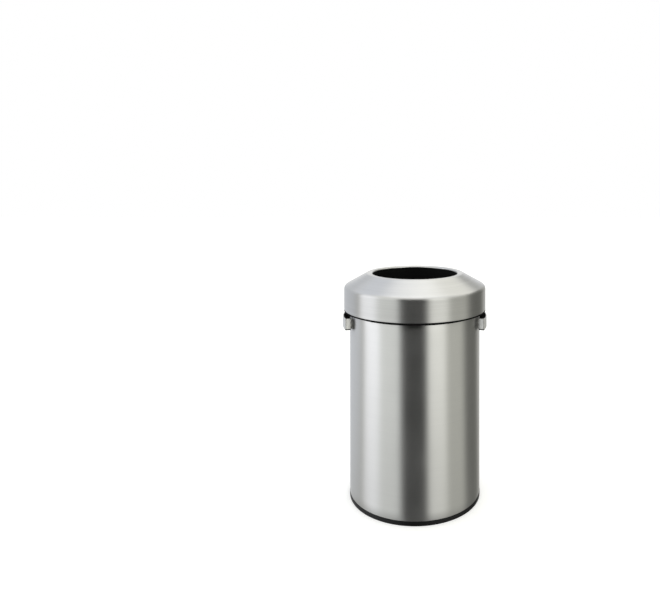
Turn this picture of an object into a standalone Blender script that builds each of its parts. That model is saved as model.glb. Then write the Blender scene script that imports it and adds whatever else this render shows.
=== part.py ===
"""Open-top waste bin in brushed stainless steel, built piece by piece.

A seam-welded steel body stands on a moulded base ring and wears a moulded collar on its top edge.
A bucket hangs in the collar, a bag ring lies on the bucket's rim, and a steel lid lifts off the top.
Metres, +Z up. The origin is on the floor, at the centre of the base. The front faces -Y.
"""

import math

import bmesh
import bpy
from mathutils import Matrix, Vector

MM = 0.001

# Clearances and fineness
SEAT_GAP = 0.3 * MM  # left between faces that touch on the real bin
OVERRUN = 4.0 * MM  # how far a cutter runs past what it cuts
BEND_TOLERANCE = 0.4 * MM  # how far a chord may cut a bend short
ROUND_SEGMENTS = 40
FASTENER_SEGMENTS = 8

# Body shell: one rolled sheet with a butt weld
BODY_RADIUS = 185.0 * MM
BODY_SHEET = 0.8 * MM
SHELL_HEIGHT = 509.5 * MM

# Base ring: an upside-down channel, ribbed inside, whose lower band shows under the steel
BASE_BAND_HEIGHT = 12.1 * MM
BASE_BAND_PROUD = 0.5 * MM
BASE_RING_HEIGHT = 30.0 * MM
BASE_RING_WIDTH = 15.5 * MM
BASE_RING_WALL = 2.6 * MM
BASE_FOOT_ROUND = 1.6 * MM
BASE_RIB_COUNT = 24
BASE_RIB_THICKNESS = 2.0 * MM
BASE_RIB_RECESS = 1.5 * MM
BASE_RIB_ROOT = 0.9 * MM

# Floor pan: a pressed steel disc with a stiffening step, welded in by its upturned rim
PAN_SHEET = 0.8 * MM
PAN_RIM_HEIGHT = 14.0 * MM
PAN_BEND = 3.0 * MM
PAN_STEP_RADIUS = 120.0 * MM
PAN_STEP_HEIGHT = 3.5 * MM
PAN_STEP_RUN = 7.0 * MM

# Screws that hold the base ring to the floor pan
BASE_SCREW_COUNT = 4
BASE_SCREW_TURN = math.radians(45)
SCREW_SHANK_RADIUS = 2.0 * MM
SCREW_SHANK_LENGTH = 9.0 * MM
SCREW_HEAD_RADIUS = 3.4 * MM
SCREW_HEAD_HEIGHT = 2.2 * MM
SCREW_POINT_SHARE = 0.35

# Rim collar: straddles the shell's top edge, and its inner ledge carries the bucket
COLLAR_WALL = 2.0 * MM
COLLAR_CAP = 2.2 * MM
COLLAR_LIP = 2.5 * MM
COLLAR_SEAT_DEPTH = 17.0 * MM
COLLAR_LEDGE_WIDTH = 6.9 * MM
COLLAR_ROUND = 0.8 * MM

# Handles: bent steel straps, riveted through the shell to a backing plate
HANDLE_REACH = 20.0 * MM
HANDLE_SHEET = 2.0 * MM
HANDLE_HEIGHT = 30.0 * MM
HANDLE_HALF_ANGLE = math.radians(20.0)
HANDLE_FLANGE = 20.0 * MM
HANDLE_ROOT_BEND = 2.6 * MM
HANDLE_CORNER_BEND = 7.0 * MM
HANDLE_EDGE = 0.4 * MM
HANDLE_ARC_STEPS = 8
BACKING_HEIGHT = 19.0 * MM
BACKING_SHEET = 1.5 * MM
BACKING_MARGIN = 3.5 * MM

# Blind rivets
RIVET_SHANK_RADIUS = 2.0 * MM
RIVET_HEAD_RADIUS = 4.0 * MM
RIVET_HEAD_HEIGHT = 1.6 * MM
RIVET_TAIL_RADIUS = 3.0 * MM
RIVET_TAIL_HEIGHT = 2.4 * MM
RIVET_SPACING = 10.0 * MM
RIVET_FROM_LEG = 11.5 * MM
RIVET_DOME_WIDTH_SHARE = 0.6
RIVET_DOME_EDGE_SHARE = 0.3
RIVET_TAIL_TIP_SHARE = 0.55

# Inner bucket: a tub, and a band with the hand grips, which hangs by its rim on the collar's ledge
BUCKET_WALL = 2.4 * MM
BUCKET_RIM_PLAY = 0.9 * MM
BUCKET_LEDGE_PLAY = 3.0 * MM
BUCKET_FLOOR_CLEARANCE = 4.0 * MM
BUCKET_TAPER = 12.0 * MM
BUCKET_EDGE_HEIGHT = 8.0 * MM  # the tub's straight edge, which the band sits on
BUCKET_STEP_WIDTH = 2.5 * MM
BUCKET_STEP_HEIGHT = 6.0 * MM
BUCKET_BOTTOM_BEND = 10.0 * MM
BUCKET_FOOT_WIDTH = 26.0 * MM
BUCKET_KICK_HEIGHT = 5.0 * MM
BUCKET_KICK_BEND = 4.0 * MM
BUCKET_RIM_BEND = 1.5 * MM
BUCKET_BAND_MARGIN = 12.0 * MM  # left under the hand grips
BUCKET_PLUG_PLAY = 2.0 * MM
BUCKET_PLUG_SLOPE = 5.0 * MM
GRIP_WIDTH = 104.0 * MM
GRIP_HEIGHT = 28.0 * MM
GRIP_DROP = 14.0 * MM
GRIP_ROUND = 5.0 * MM

# Bag ring: its skirt holds the liner bag against the bucket's wall
BAG_RING_WALL = 2.2 * MM
BAG_RING_SKIRT = 12.0 * MM
BAG_RING_PLAY = 1.0 * MM
BAG_RING_BEND = 1.2 * MM

# Lid shell: skirt, rounded shoulder, cone, flat crest and a lip turned down into the mouth
LID_OVERHANG = 16.6 * MM  # how far the lid stands out past the body
LID_SHEET = 0.8 * MM
LID_SKIRT_LIFT = 3.6 * MM
LID_SKIRT_HEIGHT = 64.5 * MM
LID_CONE_SLOPE = math.tan(math.radians(29.0))
LID_HEM_WIDTH = 5.0 * MM
LID_HEM_BEND = 1.2 * MM
LID_SHOULDER_BEND = 12.0 * MM
LID_CREST_WIDTH = 15.5 * MM
LID_CREST_BEND = 10.0 * MM
MOUTH_RADIUS = 121.5 * MM
MOUTH_LIP_BEND = 4.0 * MM
MOUTH_LIP_DEPTH = 4.6 * MM

# Lid frame: a moulded ring on the lid's hem, with a foot on the collar and a plug inside it
FRAME_WALL = 2.4 * MM
FRAME_FOOT_WIDTH = 3.6 * MM
FRAME_FLANGE_HEIGHT = 20.0 * MM
FRAME_PLUG_PLAY = 1.0 * MM
FRAME_PLUG_DEPTH = 10.8 * MM
FRAME_RIB_COUNT = 12
FRAME_RIB_THICKNESS = 2.0 * MM
FRAME_RIB_ROOT = 0.9 * MM

# Throat: a moulded sleeve under the mouth
THROAT_WALL = 2.2 * MM
THROAT_DEPTH = 62.0 * MM
THROAT_FLANGE = 10.0 * MM

# Radii and heights that follow from the sizes above.
# A faceted ring is nearest to the axis at the middle of its facets, by this share of its radius.
FACET_SHARE = math.cos(math.pi / ROUND_SEGMENTS)

SHELL_INNER_RADIUS = BODY_RADIUS - BODY_SHEET
SHELL_FOOT_Z = BASE_BAND_HEIGHT + SEAT_GAP
SHELL_TOP_Z = SHELL_FOOT_Z + SHELL_HEIGHT

BASE_OUTER_RADIUS = BODY_RADIUS + BASE_BAND_PROUD
BASE_PLUG_RADIUS = SHELL_INNER_RADIUS - SEAT_GAP
BASE_INNER_RADIUS = BASE_OUTER_RADIUS - BASE_RING_WIDTH
BASE_CHANNEL_INNER = BASE_INNER_RADIUS + BASE_RING_WALL
BASE_CHANNEL_OUTER = BASE_PLUG_RADIUS - BASE_RING_WALL
BASE_WEB_Z = BASE_RING_HEIGHT - BASE_RING_WALL
BASE_SCREW_CIRCLE = (BASE_CHANNEL_INNER + BASE_CHANNEL_OUTER) / 2
PAN_Z = BASE_RING_HEIGHT + SEAT_GAP
PAN_RADIUS = SHELL_INNER_RADIUS - SEAT_GAP

COLLAR_TOP_Z = SHELL_TOP_Z + SEAT_GAP + COLLAR_CAP
COLLAR_LIP_Z = SHELL_TOP_Z - COLLAR_LIP
COLLAR_SKIRT_RADIUS = SHELL_INNER_RADIUS - SEAT_GAP
COLLAR_BORE = COLLAR_SKIRT_RADIUS - COLLAR_WALL
COLLAR_OUTER_RADIUS = BODY_RADIUS + SEAT_GAP + COLLAR_WALL
LEDGE_Z = COLLAR_TOP_Z - COLLAR_SEAT_DEPTH
LEDGE_BOTTOM_Z = LEDGE_Z - COLLAR_CAP
LEDGE_RADIUS = COLLAR_BORE - COLLAR_LEDGE_WIDTH

BACKING_TOP_Z = LEDGE_BOTTOM_Z - SEAT_GAP
HANDLE_MID_Z = BACKING_TOP_Z - BACKING_HEIGHT / 2
HANDLE_FLANGE_FACE = BODY_RADIUS + SEAT_GAP
HANDLE_RADIUS = BODY_RADIUS + HANDLE_REACH
BACKING_OUTER_RADIUS = SHELL_INNER_RADIUS * FACET_SHARE - SEAT_GAP
BACKING_INNER_RADIUS = BACKING_OUTER_RADIUS - BACKING_SHEET
RIVET_ANGLE = HANDLE_HALF_ANGLE - RIVET_FROM_LEG / HANDLE_FLANGE_FACE
RIVET_HEAD_FACE = HANDLE_FLANGE_FACE + HANDLE_SHEET + SEAT_GAP
RIVET_GRIP = RIVET_HEAD_FACE - BACKING_INNER_RADIUS + SEAT_GAP
RIVET_HOLE_RADIUS = RIVET_SHANK_RADIUS + SEAT_GAP

BUCKET_RIM_Z = LEDGE_Z + SEAT_GAP
BUCKET_RIM_TOP_Z = BUCKET_RIM_Z + BUCKET_WALL
BUCKET_RIM_RADIUS = COLLAR_BORE - BUCKET_RIM_PLAY
BUCKET_TOP_RADIUS = LEDGE_RADIUS - BUCKET_LEDGE_PLAY
BUCKET_STEP_RADIUS = BUCKET_TOP_RADIUS - BUCKET_STEP_WIDTH
BUCKET_BOTTOM_RADIUS = BUCKET_STEP_RADIUS - BUCKET_TAPER
BUCKET_BOTTOM_Z = PAN_Z + PAN_SHEET + PAN_STEP_HEIGHT + BUCKET_FLOOR_CLEARANCE
BUCKET_BORE = BUCKET_TOP_RADIUS - BUCKET_WALL
GRIP_TOP_Z = BUCKET_RIM_Z - GRIP_DROP
GRIP_BOTTOM_Z = GRIP_TOP_Z - GRIP_HEIGHT
BUCKET_JOINT_Z = GRIP_BOTTOM_Z - BUCKET_BAND_MARGIN
BUCKET_STEP_Z = BUCKET_JOINT_Z - BUCKET_EDGE_HEIGHT

BAG_RING_Z = BUCKET_RIM_TOP_Z + SEAT_GAP
BAG_RING_TOP_Z = BAG_RING_Z + BAG_RING_WALL
BAG_RING_RADIUS = BUCKET_BORE - BAG_RING_PLAY

SKIRT_Z = COLLAR_TOP_Z + LID_SKIRT_LIFT
SHOULDER_Z = SKIRT_Z + LID_SKIRT_HEIGHT
CREST_RADIUS = MOUTH_RADIUS + LID_CREST_WIDTH
LID_RADIUS = BODY_RADIUS + LID_OVERHANG
CREST_Z = SHOULDER_Z + (LID_RADIUS - CREST_RADIUS) * LID_CONE_SLOPE

FRAME_RADIUS = LID_RADIUS - LID_SHEET - SEAT_GAP
FRAME_WEB_Z = SKIRT_Z + LID_SHEET + SEAT_GAP
FRAME_WEB_TOP_Z = FRAME_WEB_Z + FRAME_WALL
FRAME_FLANGE_Z = FRAME_WEB_Z + FRAME_FLANGE_HEIGHT
FRAME_FOOT_Z = COLLAR_TOP_Z + SEAT_GAP
FRAME_FOOT_OUTER = COLLAR_OUTER_RADIUS - COLLAR_ROUND
FRAME_FOOT_INNER = FRAME_FOOT_OUTER - FRAME_FOOT_WIDTH
FRAME_PLUG_RADIUS = COLLAR_BORE - FRAME_PLUG_PLAY
FRAME_PLUG_BORE = FRAME_PLUG_RADIUS - FRAME_WALL
FRAME_PLUG_Z = COLLAR_TOP_Z - FRAME_PLUG_DEPTH

THROAT_RADIUS = MOUTH_RADIUS + LID_SHEET + SEAT_GAP
THROAT_TOP_Z = CREST_Z - LID_SHEET - SEAT_GAP
THROAT_BOTTOM_Z = THROAT_TOP_Z - THROAT_DEPTH
THROAT_FLANGE_RADIUS = THROAT_RADIUS + THROAT_FLANGE
THROAT_BEND = MOUTH_LIP_BEND - LID_SHEET - SEAT_GAP

# Finishes: sRGB colour, metallic and roughness as they read in the photograph
BRUSHED_STEEL = ("brushed_stainless_steel", (0.74, 0.74, 0.73), 1.0, 0.30)
PLAIN_STEEL = ("mill_finish_steel", (0.62, 0.63, 0.63), 1.0, 0.42)
BLACK_PLASTIC = ("black_abs", (0.035, 0.035, 0.037), 0.0, 0.45)
BUCKET_PLASTIC = ("black_polypropylene", (0.050, 0.050, 0.053), 0.0, 0.60)


def clear_scene():
    for obj in list(bpy.data.objects):
        bpy.data.objects.remove(obj, do_unlink=True)


def linear(channel):
    """One sRGB channel as the linear value that a shader takes."""
    if channel <= 0.04045:
        return channel / 12.92
    return ((channel + 0.055) / 1.055) ** 2.4


def finish(kind):
    """The material of that kind, made once."""
    name, colour, metallic, roughness = kind
    material = bpy.data.materials.get(name)
    if material is None:
        material = bpy.data.materials.new(name)
        material.use_nodes = True
        shader = material.node_tree.nodes["Principled BSDF"]
        shader.inputs["Base Color"].default_value = (*map(linear, colour), 1.0)
        shader.inputs["Metallic"].default_value = metallic
        shader.inputs["Roughness"].default_value = roughness
    return material


def frame_empty(name):
    """An empty on the bin's axis, which carries the pieces that move together."""
    empty = bpy.data.objects.new(name, None)
    bpy.context.scene.collection.objects.link(empty)
    return empty


def piece(name, shape, kind, carrier):
    """Turns a finished bmesh into a named object with smooth round faces and sharp edges."""
    bmesh.ops.recalc_face_normals(shape, faces=shape.faces)
    mesh = bpy.data.meshes.new(name)
    shape.to_mesh(mesh)
    shape.free()
    mesh.shade_smooth()
    mesh.set_sharp_from_angle(angle=math.radians(35))
    obj = bpy.data.objects.new(name, mesh)
    bpy.context.scene.collection.objects.link(obj)
    obj.data.materials.append(finish(kind))
    obj.parent = carrier
    return obj


def helper(name, shape):
    """A shape that only cuts or joins others, and is no piece itself."""
    obj = piece(name, shape, BLACK_PLASTIC, None)
    obj.hide_render = True
    obj.display_type = "WIRE"
    return obj


def combine(obj, other, operation):
    modifier = obj.modifiers.new(f"{operation.lower()}_{other.name}", "BOOLEAN")
    modifier.operation = operation
    modifier.solver = "EXACT"
    modifier.object = other


def bend(before, corner, after, radius):
    """The arc that rounds a corner, tangent to both of its sides."""
    inward = (before - corner).normalized()
    outward = (after - corner).normalized()
    opening = inward.angle(outward)
    turn = math.pi - opening
    start = corner + inward * (radius / math.tan(opening / 2))
    centre = corner + (inward + outward).normalized() * (radius / math.sin(opening / 2))
    side = 1.0 if inward.x * outward.y - inward.y * outward.x < 0 else -1.0
    step = 2 * math.acos(max(0.0, 1 - BEND_TOLERANCE / radius))
    steps = max(1, math.ceil(turn / step))
    spoke = start - centre
    arc = []
    for index in range(steps + 1):
        angle = side * turn * index / steps
        turned = Matrix.Rotation(angle, 2) @ spoke
        arc.append(centre + turned)
    return arc


def rounded(corners, closed=False):
    """The outline through (x, y, bend radius) corners, with an arc at each corner that has a radius."""
    points = [Vector((x, y)) for x, y, _ in corners]
    outline = []
    for index, (_, _, radius) in enumerate(corners):
        is_end = not closed and index in (0, len(corners) - 1)
        if radius and not is_end:
            after = points[(index + 1) % len(points)]
            outline += bend(points[index - 1], points[index], after, radius)
        else:
            outline.append(points[index])
    return outline


def sheet(path, thickness):
    """The closed outline of a sheet that lies to the left of its path, mitred at each point."""
    inner = []
    for index, point in enumerate(path):
        normals = []
        for start, end in ((index - 1, index), (index, index + 1)):
            if start >= 0 and end < len(path):
                along = (path[end] - path[start]).normalized()
                normals.append(Vector((-along.y, along.x)))
        middle = sum(normals, Vector((0, 0))).normalized()
        inner.append(point + middle * (thickness / middle.dot(normals[0])))
    return path + inner[::-1]


def lathe(outline, segments=ROUND_SEGMENTS):
    """Spins an outline of (radius, height) points about the Z axis. One that starts on the axis ends there."""
    shape = bmesh.new()
    ring = [shape.verts.new((point.x, 0, point.y)) for point in outline]
    on_axis = outline[0].x == 0
    pairs = list(zip(ring, ring[1:]))
    if not on_axis:
        pairs.append((ring[-1], ring[0]))
    edges = [shape.edges.new(pair) for pair in pairs]
    bmesh.ops.spin(
        shape,
        geom=ring + edges,
        cent=(0, 0, 0),
        axis=(0, 0, 1),
        angle=2 * math.pi,
        steps=segments,
    )
    bmesh.ops.remove_doubles(shape, verts=shape.verts, dist=SEAT_GAP / 100)
    return shape


def extrude_plan(outline, bottom, height):
    """A prism on a closed outline in plan."""
    shape = bmesh.new()
    base = shape.faces.new([shape.verts.new((point.x, point.y, bottom)) for point in outline])
    raised = bmesh.ops.extrude_face_region(shape, geom=[base])
    top = [item for item in raised["geom"] if isinstance(item, bmesh.types.BMVert)]
    bmesh.ops.translate(shape, verts=top, vec=(0, 0, height))
    return shape


def polar(radius, angle):
    return Vector((radius * math.cos(angle), radius * math.sin(angle)))


def body_shell(carrier):
    """The rolled steel tube, open at both ends."""
    outline = rounded(
        [
            (SHELL_INNER_RADIUS, SHELL_FOOT_Z, 0),
            (BODY_RADIUS, SHELL_FOOT_Z, 0),
            (BODY_RADIUS, SHELL_TOP_Z, 0),
            (SHELL_INNER_RADIUS, SHELL_TOP_Z, 0),
        ],
        closed=True,
    )
    return piece("body_shell", lathe(outline), BRUSHED_STEEL, carrier)


def base_ring(carrier):
    """The channel that the shell stands on: outer band, plug inside the shell, web and inner wall."""
    band_inner = BASE_OUTER_RADIUS - BASE_RING_WALL
    band_top_inner = BASE_CHANNEL_OUTER
    outline = rounded(
        [
            (BASE_INNER_RADIUS, 0, 0),
            (BASE_CHANNEL_INNER, 0, 0),
            (BASE_CHANNEL_INNER, BASE_WEB_Z, 0),
            (band_top_inner, BASE_WEB_Z, 0),
            (band_top_inner, BASE_BAND_HEIGHT - BASE_RING_WALL, 0),
            (band_inner, 0, 0),
            (BASE_OUTER_RADIUS, 0, BASE_FOOT_ROUND),
            (BASE_OUTER_RADIUS, BASE_BAND_HEIGHT, 0),
            (BASE_PLUG_RADIUS, BASE_BAND_HEIGHT, 0),
            (BASE_PLUG_RADIUS, BASE_RING_HEIGHT, 0),
            (BASE_INNER_RADIUS, BASE_RING_HEIGHT, 0),
        ],
        closed=True,
    )
    ring = piece("base_ring", lathe(outline), BLACK_PLASTIC, carrier)
    inner = BASE_CHANNEL_INNER - BASE_RIB_ROOT
    outer = BASE_CHANNEL_OUTER + BASE_RIB_ROOT
    height = BASE_WEB_Z + BASE_RIB_ROOT - BASE_RIB_RECESS
    ribs = radial_ribs(
        BASE_RIB_COUNT, inner, outer, BASE_RIB_RECESS, height, BASE_RIB_THICKNESS
    )
    combine(ring, helper("base_ring_ribs", ribs), "UNION")
    return ring


def radial_ribs(count, inner, outer, bottom, height, thickness):
    """Flat ribs that stand like spokes between two radii, the first half a step round from +X."""
    shape = bmesh.new()
    for index in range(count):
        turn = Matrix.Rotation(2 * math.pi * (index + 0.5) / count, 4, "Z")
        middle = Vector(((inner + outer) / 2, 0, bottom + height / 2))
        size = Matrix.Diagonal((outer - inner, thickness, height, 1))
        bmesh.ops.create_cube(shape, size=1, matrix=turn @ Matrix.Translation(middle) @ size)
    return shape


def floor_pan(carrier):
    """The pressed disc: raised middle, flat seat on the base ring, rim up against the shell."""
    step_z = PAN_Z + PAN_STEP_HEIGHT
    path = rounded(
        [
            (0, step_z, 0),
            (PAN_STEP_RADIUS, step_z, PAN_BEND),
            (PAN_STEP_RADIUS + PAN_STEP_RUN, PAN_Z, PAN_BEND),
            (PAN_RADIUS, PAN_Z, PAN_BEND),
            (PAN_RADIUS, PAN_Z + PAN_RIM_HEIGHT, 0),
        ]
    )
    return piece("floor_pan", lathe(sheet(path, PAN_SHEET)), PLAIN_STEEL, carrier)


def base_screw_turns():
    """The base screws stand between ribs, evenly round the ring."""
    return [
        BASE_SCREW_TURN + 2 * math.pi * index / BASE_SCREW_COUNT
        for index in range(BASE_SCREW_COUNT)
    ]


def base_screws(carrier):
    """Pan-head screws, driven up through the ring's web into the floor pan."""
    seat = BASE_WEB_Z - SEAT_GAP
    tip = seat + SCREW_SHANK_LENGTH
    head = seat - SCREW_HEAD_HEIGHT
    outline = rounded(
        [
            (0, head, 0),
            (SCREW_HEAD_RADIUS, head, SCREW_HEAD_HEIGHT / 2),
            (SCREW_HEAD_RADIUS, seat, 0),
            (SCREW_SHANK_RADIUS, seat, 0),
            (SCREW_SHANK_RADIUS, tip - SCREW_SHANK_RADIUS, 0),
            (SCREW_SHANK_RADIUS * SCREW_POINT_SHARE, tip, 0),
            (0, tip, 0),
        ]
    )
    for number, turn in enumerate(base_screw_turns(), start=1):
        name = f"base_screw_{number}"
        screw = piece(name, lathe(outline, FASTENER_SEGMENTS), PLAIN_STEEL, carrier)
        screw.location = (*polar(BASE_SCREW_CIRCLE, turn), 0)
        screw.rotation_euler = (0, 0, turn)


def base_screw_holes():
    """Clearance holes for the base screws through the web and the pan."""
    shape = bmesh.new()
    bottom = BASE_WEB_Z - OVERRUN
    top = PAN_Z + OVERRUN
    for turn in base_screw_turns():
        place = Vector((*polar(BASE_SCREW_CIRCLE, turn), (bottom + top) / 2))
        bmesh.ops.create_cone(
            shape,
            cap_ends=True,
            segments=FASTENER_SEGMENTS,
            radius1=SCREW_SHANK_RADIUS + SEAT_GAP,
            radius2=SCREW_SHANK_RADIUS + SEAT_GAP,
            depth=top - bottom,
            matrix=Matrix.Translation(place) @ Matrix.Rotation(turn, 4, "Z"),
        )
    return helper("base_screw_holes", shape)


def rim_collar(carrier):
    """The trim on the shell's edge: outer lip, cap, bore for the lid's plug and ledge for the bucket."""
    outline = rounded(
        [
            (BODY_RADIUS + SEAT_GAP, COLLAR_LIP_Z, 0),
            (COLLAR_OUTER_RADIUS, COLLAR_LIP_Z, 0),
            (COLLAR_OUTER_RADIUS, COLLAR_TOP_Z, COLLAR_ROUND),
            (COLLAR_BORE, COLLAR_TOP_Z, COLLAR_ROUND),
            (COLLAR_BORE, LEDGE_Z, 0),
            (LEDGE_RADIUS, LEDGE_Z, 0),
            (LEDGE_RADIUS, LEDGE_BOTTOM_Z, 0),
            (COLLAR_SKIRT_RADIUS, LEDGE_BOTTOM_Z, 0),
            (COLLAR_SKIRT_RADIUS, SHELL_TOP_Z + SEAT_GAP, 0),
            (BODY_RADIUS + SEAT_GAP, SHELL_TOP_Z + SEAT_GAP, 0),
        ],
        closed=True,
    )
    return piece("rim_collar", lathe(outline), BLACK_PLASTIC, carrier)


def handle_outline():
    """The strap in plan, on the +X side: flange, leg, curved bar, leg, flange."""
    flange_angle = HANDLE_FLANGE / HANDLE_FLANGE_FACE
    half = HANDLE_HALF_ANGLE
    corners = []

    def add(radius, angle, bend_radius=0):
        point = polar(radius, angle)
        corners.append((point.x, point.y, bend_radius))

    add(HANDLE_FLANGE_FACE, flange_angle - half)
    add(HANDLE_FLANGE_FACE, flange_angle / 2 - half)
    add(HANDLE_FLANGE_FACE, -half, HANDLE_ROOT_BEND)
    add(HANDLE_RADIUS, -half, HANDLE_CORNER_BEND)
    for index in range(1, HANDLE_ARC_STEPS):
        add(HANDLE_RADIUS, half * (2 * index / HANDLE_ARC_STEPS - 1))
    add(HANDLE_RADIUS, half, HANDLE_CORNER_BEND)
    add(HANDLE_FLANGE_FACE, half, HANDLE_ROOT_BEND)
    add(HANDLE_FLANGE_FACE, half - flange_angle / 2)
    add(HANDLE_FLANGE_FACE, half - flange_angle)
    return sheet(rounded(corners), HANDLE_SHEET)


def backing_outline():
    """The backing plate in plan: an arc that reaches past the outer rivets."""
    half = RIVET_ANGLE + (RIVET_TAIL_RADIUS + BACKING_MARGIN) / BACKING_INNER_RADIUS
    angles = [half * (2 * index / HANDLE_ARC_STEPS - 1) for index in range(HANDLE_ARC_STEPS + 1)]
    outer = [polar(BACKING_OUTER_RADIUS, angle) for angle in angles]
    inner = [polar(BACKING_INNER_RADIUS, angle) for angle in reversed(angles)]
    return outer + inner


def rivet_places(side_turn):
    """(angle round the body, height) of a handle's four rivets."""
    return [
        (side_turn + sign * RIVET_ANGLE, HANDLE_MID_Z + offset)
        for sign in (-1, 1)
        for offset in (-RIVET_SPACING / 2, RIVET_SPACING / 2)
    ]


def rivet_outline():
    """The rivet's half section: domed head at the top, shank, bulbed tail below."""
    grip = -RIVET_GRIP
    tail = grip - RIVET_TAIL_HEIGHT
    return [
        Vector((0, RIVET_HEAD_HEIGHT)),
        Vector((RIVET_HEAD_RADIUS * RIVET_DOME_WIDTH_SHARE, RIVET_HEAD_HEIGHT)),
        Vector((RIVET_HEAD_RADIUS, RIVET_HEAD_HEIGHT * RIVET_DOME_EDGE_SHARE)),
        Vector((RIVET_HEAD_RADIUS, 0)),
        Vector((RIVET_SHANK_RADIUS, 0)),
        Vector((RIVET_SHANK_RADIUS, grip)),
        Vector((RIVET_TAIL_RADIUS, grip)),
        Vector((RIVET_TAIL_RADIUS * RIVET_TAIL_TIP_SHARE, tail)),
        Vector((0, tail)),
    ]


def rivet_holes(side_turns):
    """Radial holes for every rivet, through flange, shell and backing plate."""
    shape = bmesh.new()
    inner = BACKING_INNER_RADIUS - OVERRUN
    outer = RIVET_HEAD_FACE + OVERRUN
    for side_turn in side_turns:
        for angle, height in rivet_places(side_turn):
            aim = Matrix.Rotation(angle, 4, "Z") @ Matrix.Rotation(math.pi / 2, 4, "Y")
            place = Vector((*polar((inner + outer) / 2, angle), height))
            bmesh.ops.create_cone(
                shape,
                cap_ends=True,
                segments=FASTENER_SEGMENTS,
                radius1=RIVET_HOLE_RADIUS,
                radius2=RIVET_HOLE_RADIUS,
                depth=outer - inner,
                matrix=Matrix.Translation(place) @ aim,
            )
    return helper("rivet_holes", shape)


def handle_set(side, side_turn, carrier, holes):
    """A strap handle, its backing plate and its four rivets."""
    strap = extrude_plan(handle_outline(), HANDLE_MID_Z - HANDLE_HEIGHT / 2, HANDLE_HEIGHT)
    handle = piece(f"handle_{side}", strap, BRUSHED_STEEL, carrier)
    plate = extrude_plan(backing_outline(), HANDLE_MID_Z - BACKING_HEIGHT / 2, BACKING_HEIGHT)
    backing = piece(f"handle_backing_{side}", plate, PLAIN_STEEL, carrier)
    softened = handle.modifiers.new("edge_softening", "BEVEL")
    softened.width = HANDLE_EDGE
    softened.segments = 1
    softened.limit_method = "ANGLE"
    softened.angle_limit = math.radians(60)
    for obj in (handle, backing):
        obj.rotation_euler = (0, 0, side_turn)
        combine(obj, holes, "DIFFERENCE")
    for number, (angle, height) in enumerate(rivet_places(side_turn), start=1):
        shape = lathe(rivet_outline(), FASTENER_SEGMENTS)
        rivet = piece(f"handle_rivet_{side}_{number}", shape, PLAIN_STEEL, carrier)
        rivet.location = (*polar(RIVET_HEAD_FACE, angle), height)
        rivet.rotation_euler = (0, math.pi / 2, angle)


def inner_bucket(carrier):
    """The tub: raised floor, tapered wall, a step, and above it the straight edge that the band sits on."""
    foot_inner = BUCKET_BOTTOM_RADIUS - BUCKET_FOOT_WIDTH
    kick_radius = foot_inner - BUCKET_KICK_HEIGHT
    kick_z = BUCKET_BOTTOM_Z + BUCKET_KICK_HEIGHT
    path = rounded(
        [
            (0, kick_z, 0),
            (kick_radius, kick_z, BUCKET_KICK_BEND),
            (foot_inner, BUCKET_BOTTOM_Z, BUCKET_KICK_BEND),
            (BUCKET_BOTTOM_RADIUS, BUCKET_BOTTOM_Z, BUCKET_BOTTOM_BEND),
            (BUCKET_STEP_RADIUS, BUCKET_STEP_Z - BUCKET_STEP_HEIGHT, 0),
            (BUCKET_TOP_RADIUS, BUCKET_STEP_Z, 0),
            (BUCKET_TOP_RADIUS, BUCKET_JOINT_Z, 0),
        ]
    )
    return piece("inner_bucket", lathe(sheet(path, BUCKET_WALL)), BUCKET_PLASTIC, carrier)


def bucket_band(carrier):
    """The band on the tub's edge: flat rim, wall with two hand grips, and a plug inside the tub."""
    plug_radius = BUCKET_BORE - SEAT_GAP
    plug_bore = plug_radius - BUCKET_WALL
    plug_z = BUCKET_STEP_Z + BUCKET_PLUG_PLAY
    seat_z = BUCKET_JOINT_Z + SEAT_GAP
    outline = rounded(
        [
            (plug_bore, plug_z, 0),
            (plug_radius, plug_z, 0),
            (plug_radius, seat_z, 0),
            (BUCKET_TOP_RADIUS, seat_z, 0),
            (BUCKET_TOP_RADIUS, BUCKET_RIM_Z, BUCKET_RIM_BEND),
            (BUCKET_RIM_RADIUS, BUCKET_RIM_Z, 0),
            (BUCKET_RIM_RADIUS, BUCKET_RIM_TOP_Z, 0),
            (BUCKET_BORE, BUCKET_RIM_TOP_Z, BUCKET_RIM_BEND + BUCKET_WALL),
            (BUCKET_BORE, seat_z + BUCKET_PLUG_SLOPE, 0),
            (plug_bore, seat_z, 0),
        ],
        closed=True,
    )
    band = piece("bucket_band", lathe(outline), BUCKET_PLASTIC, carrier)
    combine(band, bucket_grip_cutter(), "DIFFERENCE")
    return band


def bucket_grip_cutter():
    """A rounded bar along Y, which opens a hand grip in the front and the back of the band."""
    half = GRIP_WIDTH / 2
    reach = BUCKET_TOP_RADIUS + OVERRUN
    corners = [(-half, GRIP_BOTTOM_Z), (half, GRIP_BOTTOM_Z), (half, GRIP_TOP_Z), (-half, GRIP_TOP_Z)]
    outline = rounded([(x, z, GRIP_ROUND) for x, z in corners], closed=True)
    shape = extrude_plan(outline, -reach, 2 * reach)
    bmesh.ops.rotate(
        shape, verts=shape.verts, cent=(0, 0, 0), matrix=Matrix.Rotation(math.pi / 2, 3, "X")
    )
    return helper("bucket_grip_cutter", shape)


def bag_ring(carrier):
    """The ring that traps the bag: skirt inside the bucket, flange on its rim."""
    skirt_z = BAG_RING_Z - BUCKET_WALL - BAG_RING_SKIRT
    path = rounded(
        [
            (BAG_RING_RADIUS, skirt_z, 0),
            (BAG_RING_RADIUS, BAG_RING_Z, BAG_RING_BEND),
            (BUCKET_RIM_RADIUS, BAG_RING_Z, 0),
        ]
    )
    return piece("bag_ring", lathe(sheet(path, BAG_RING_WALL)), BLACK_PLASTIC, carrier)


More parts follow.
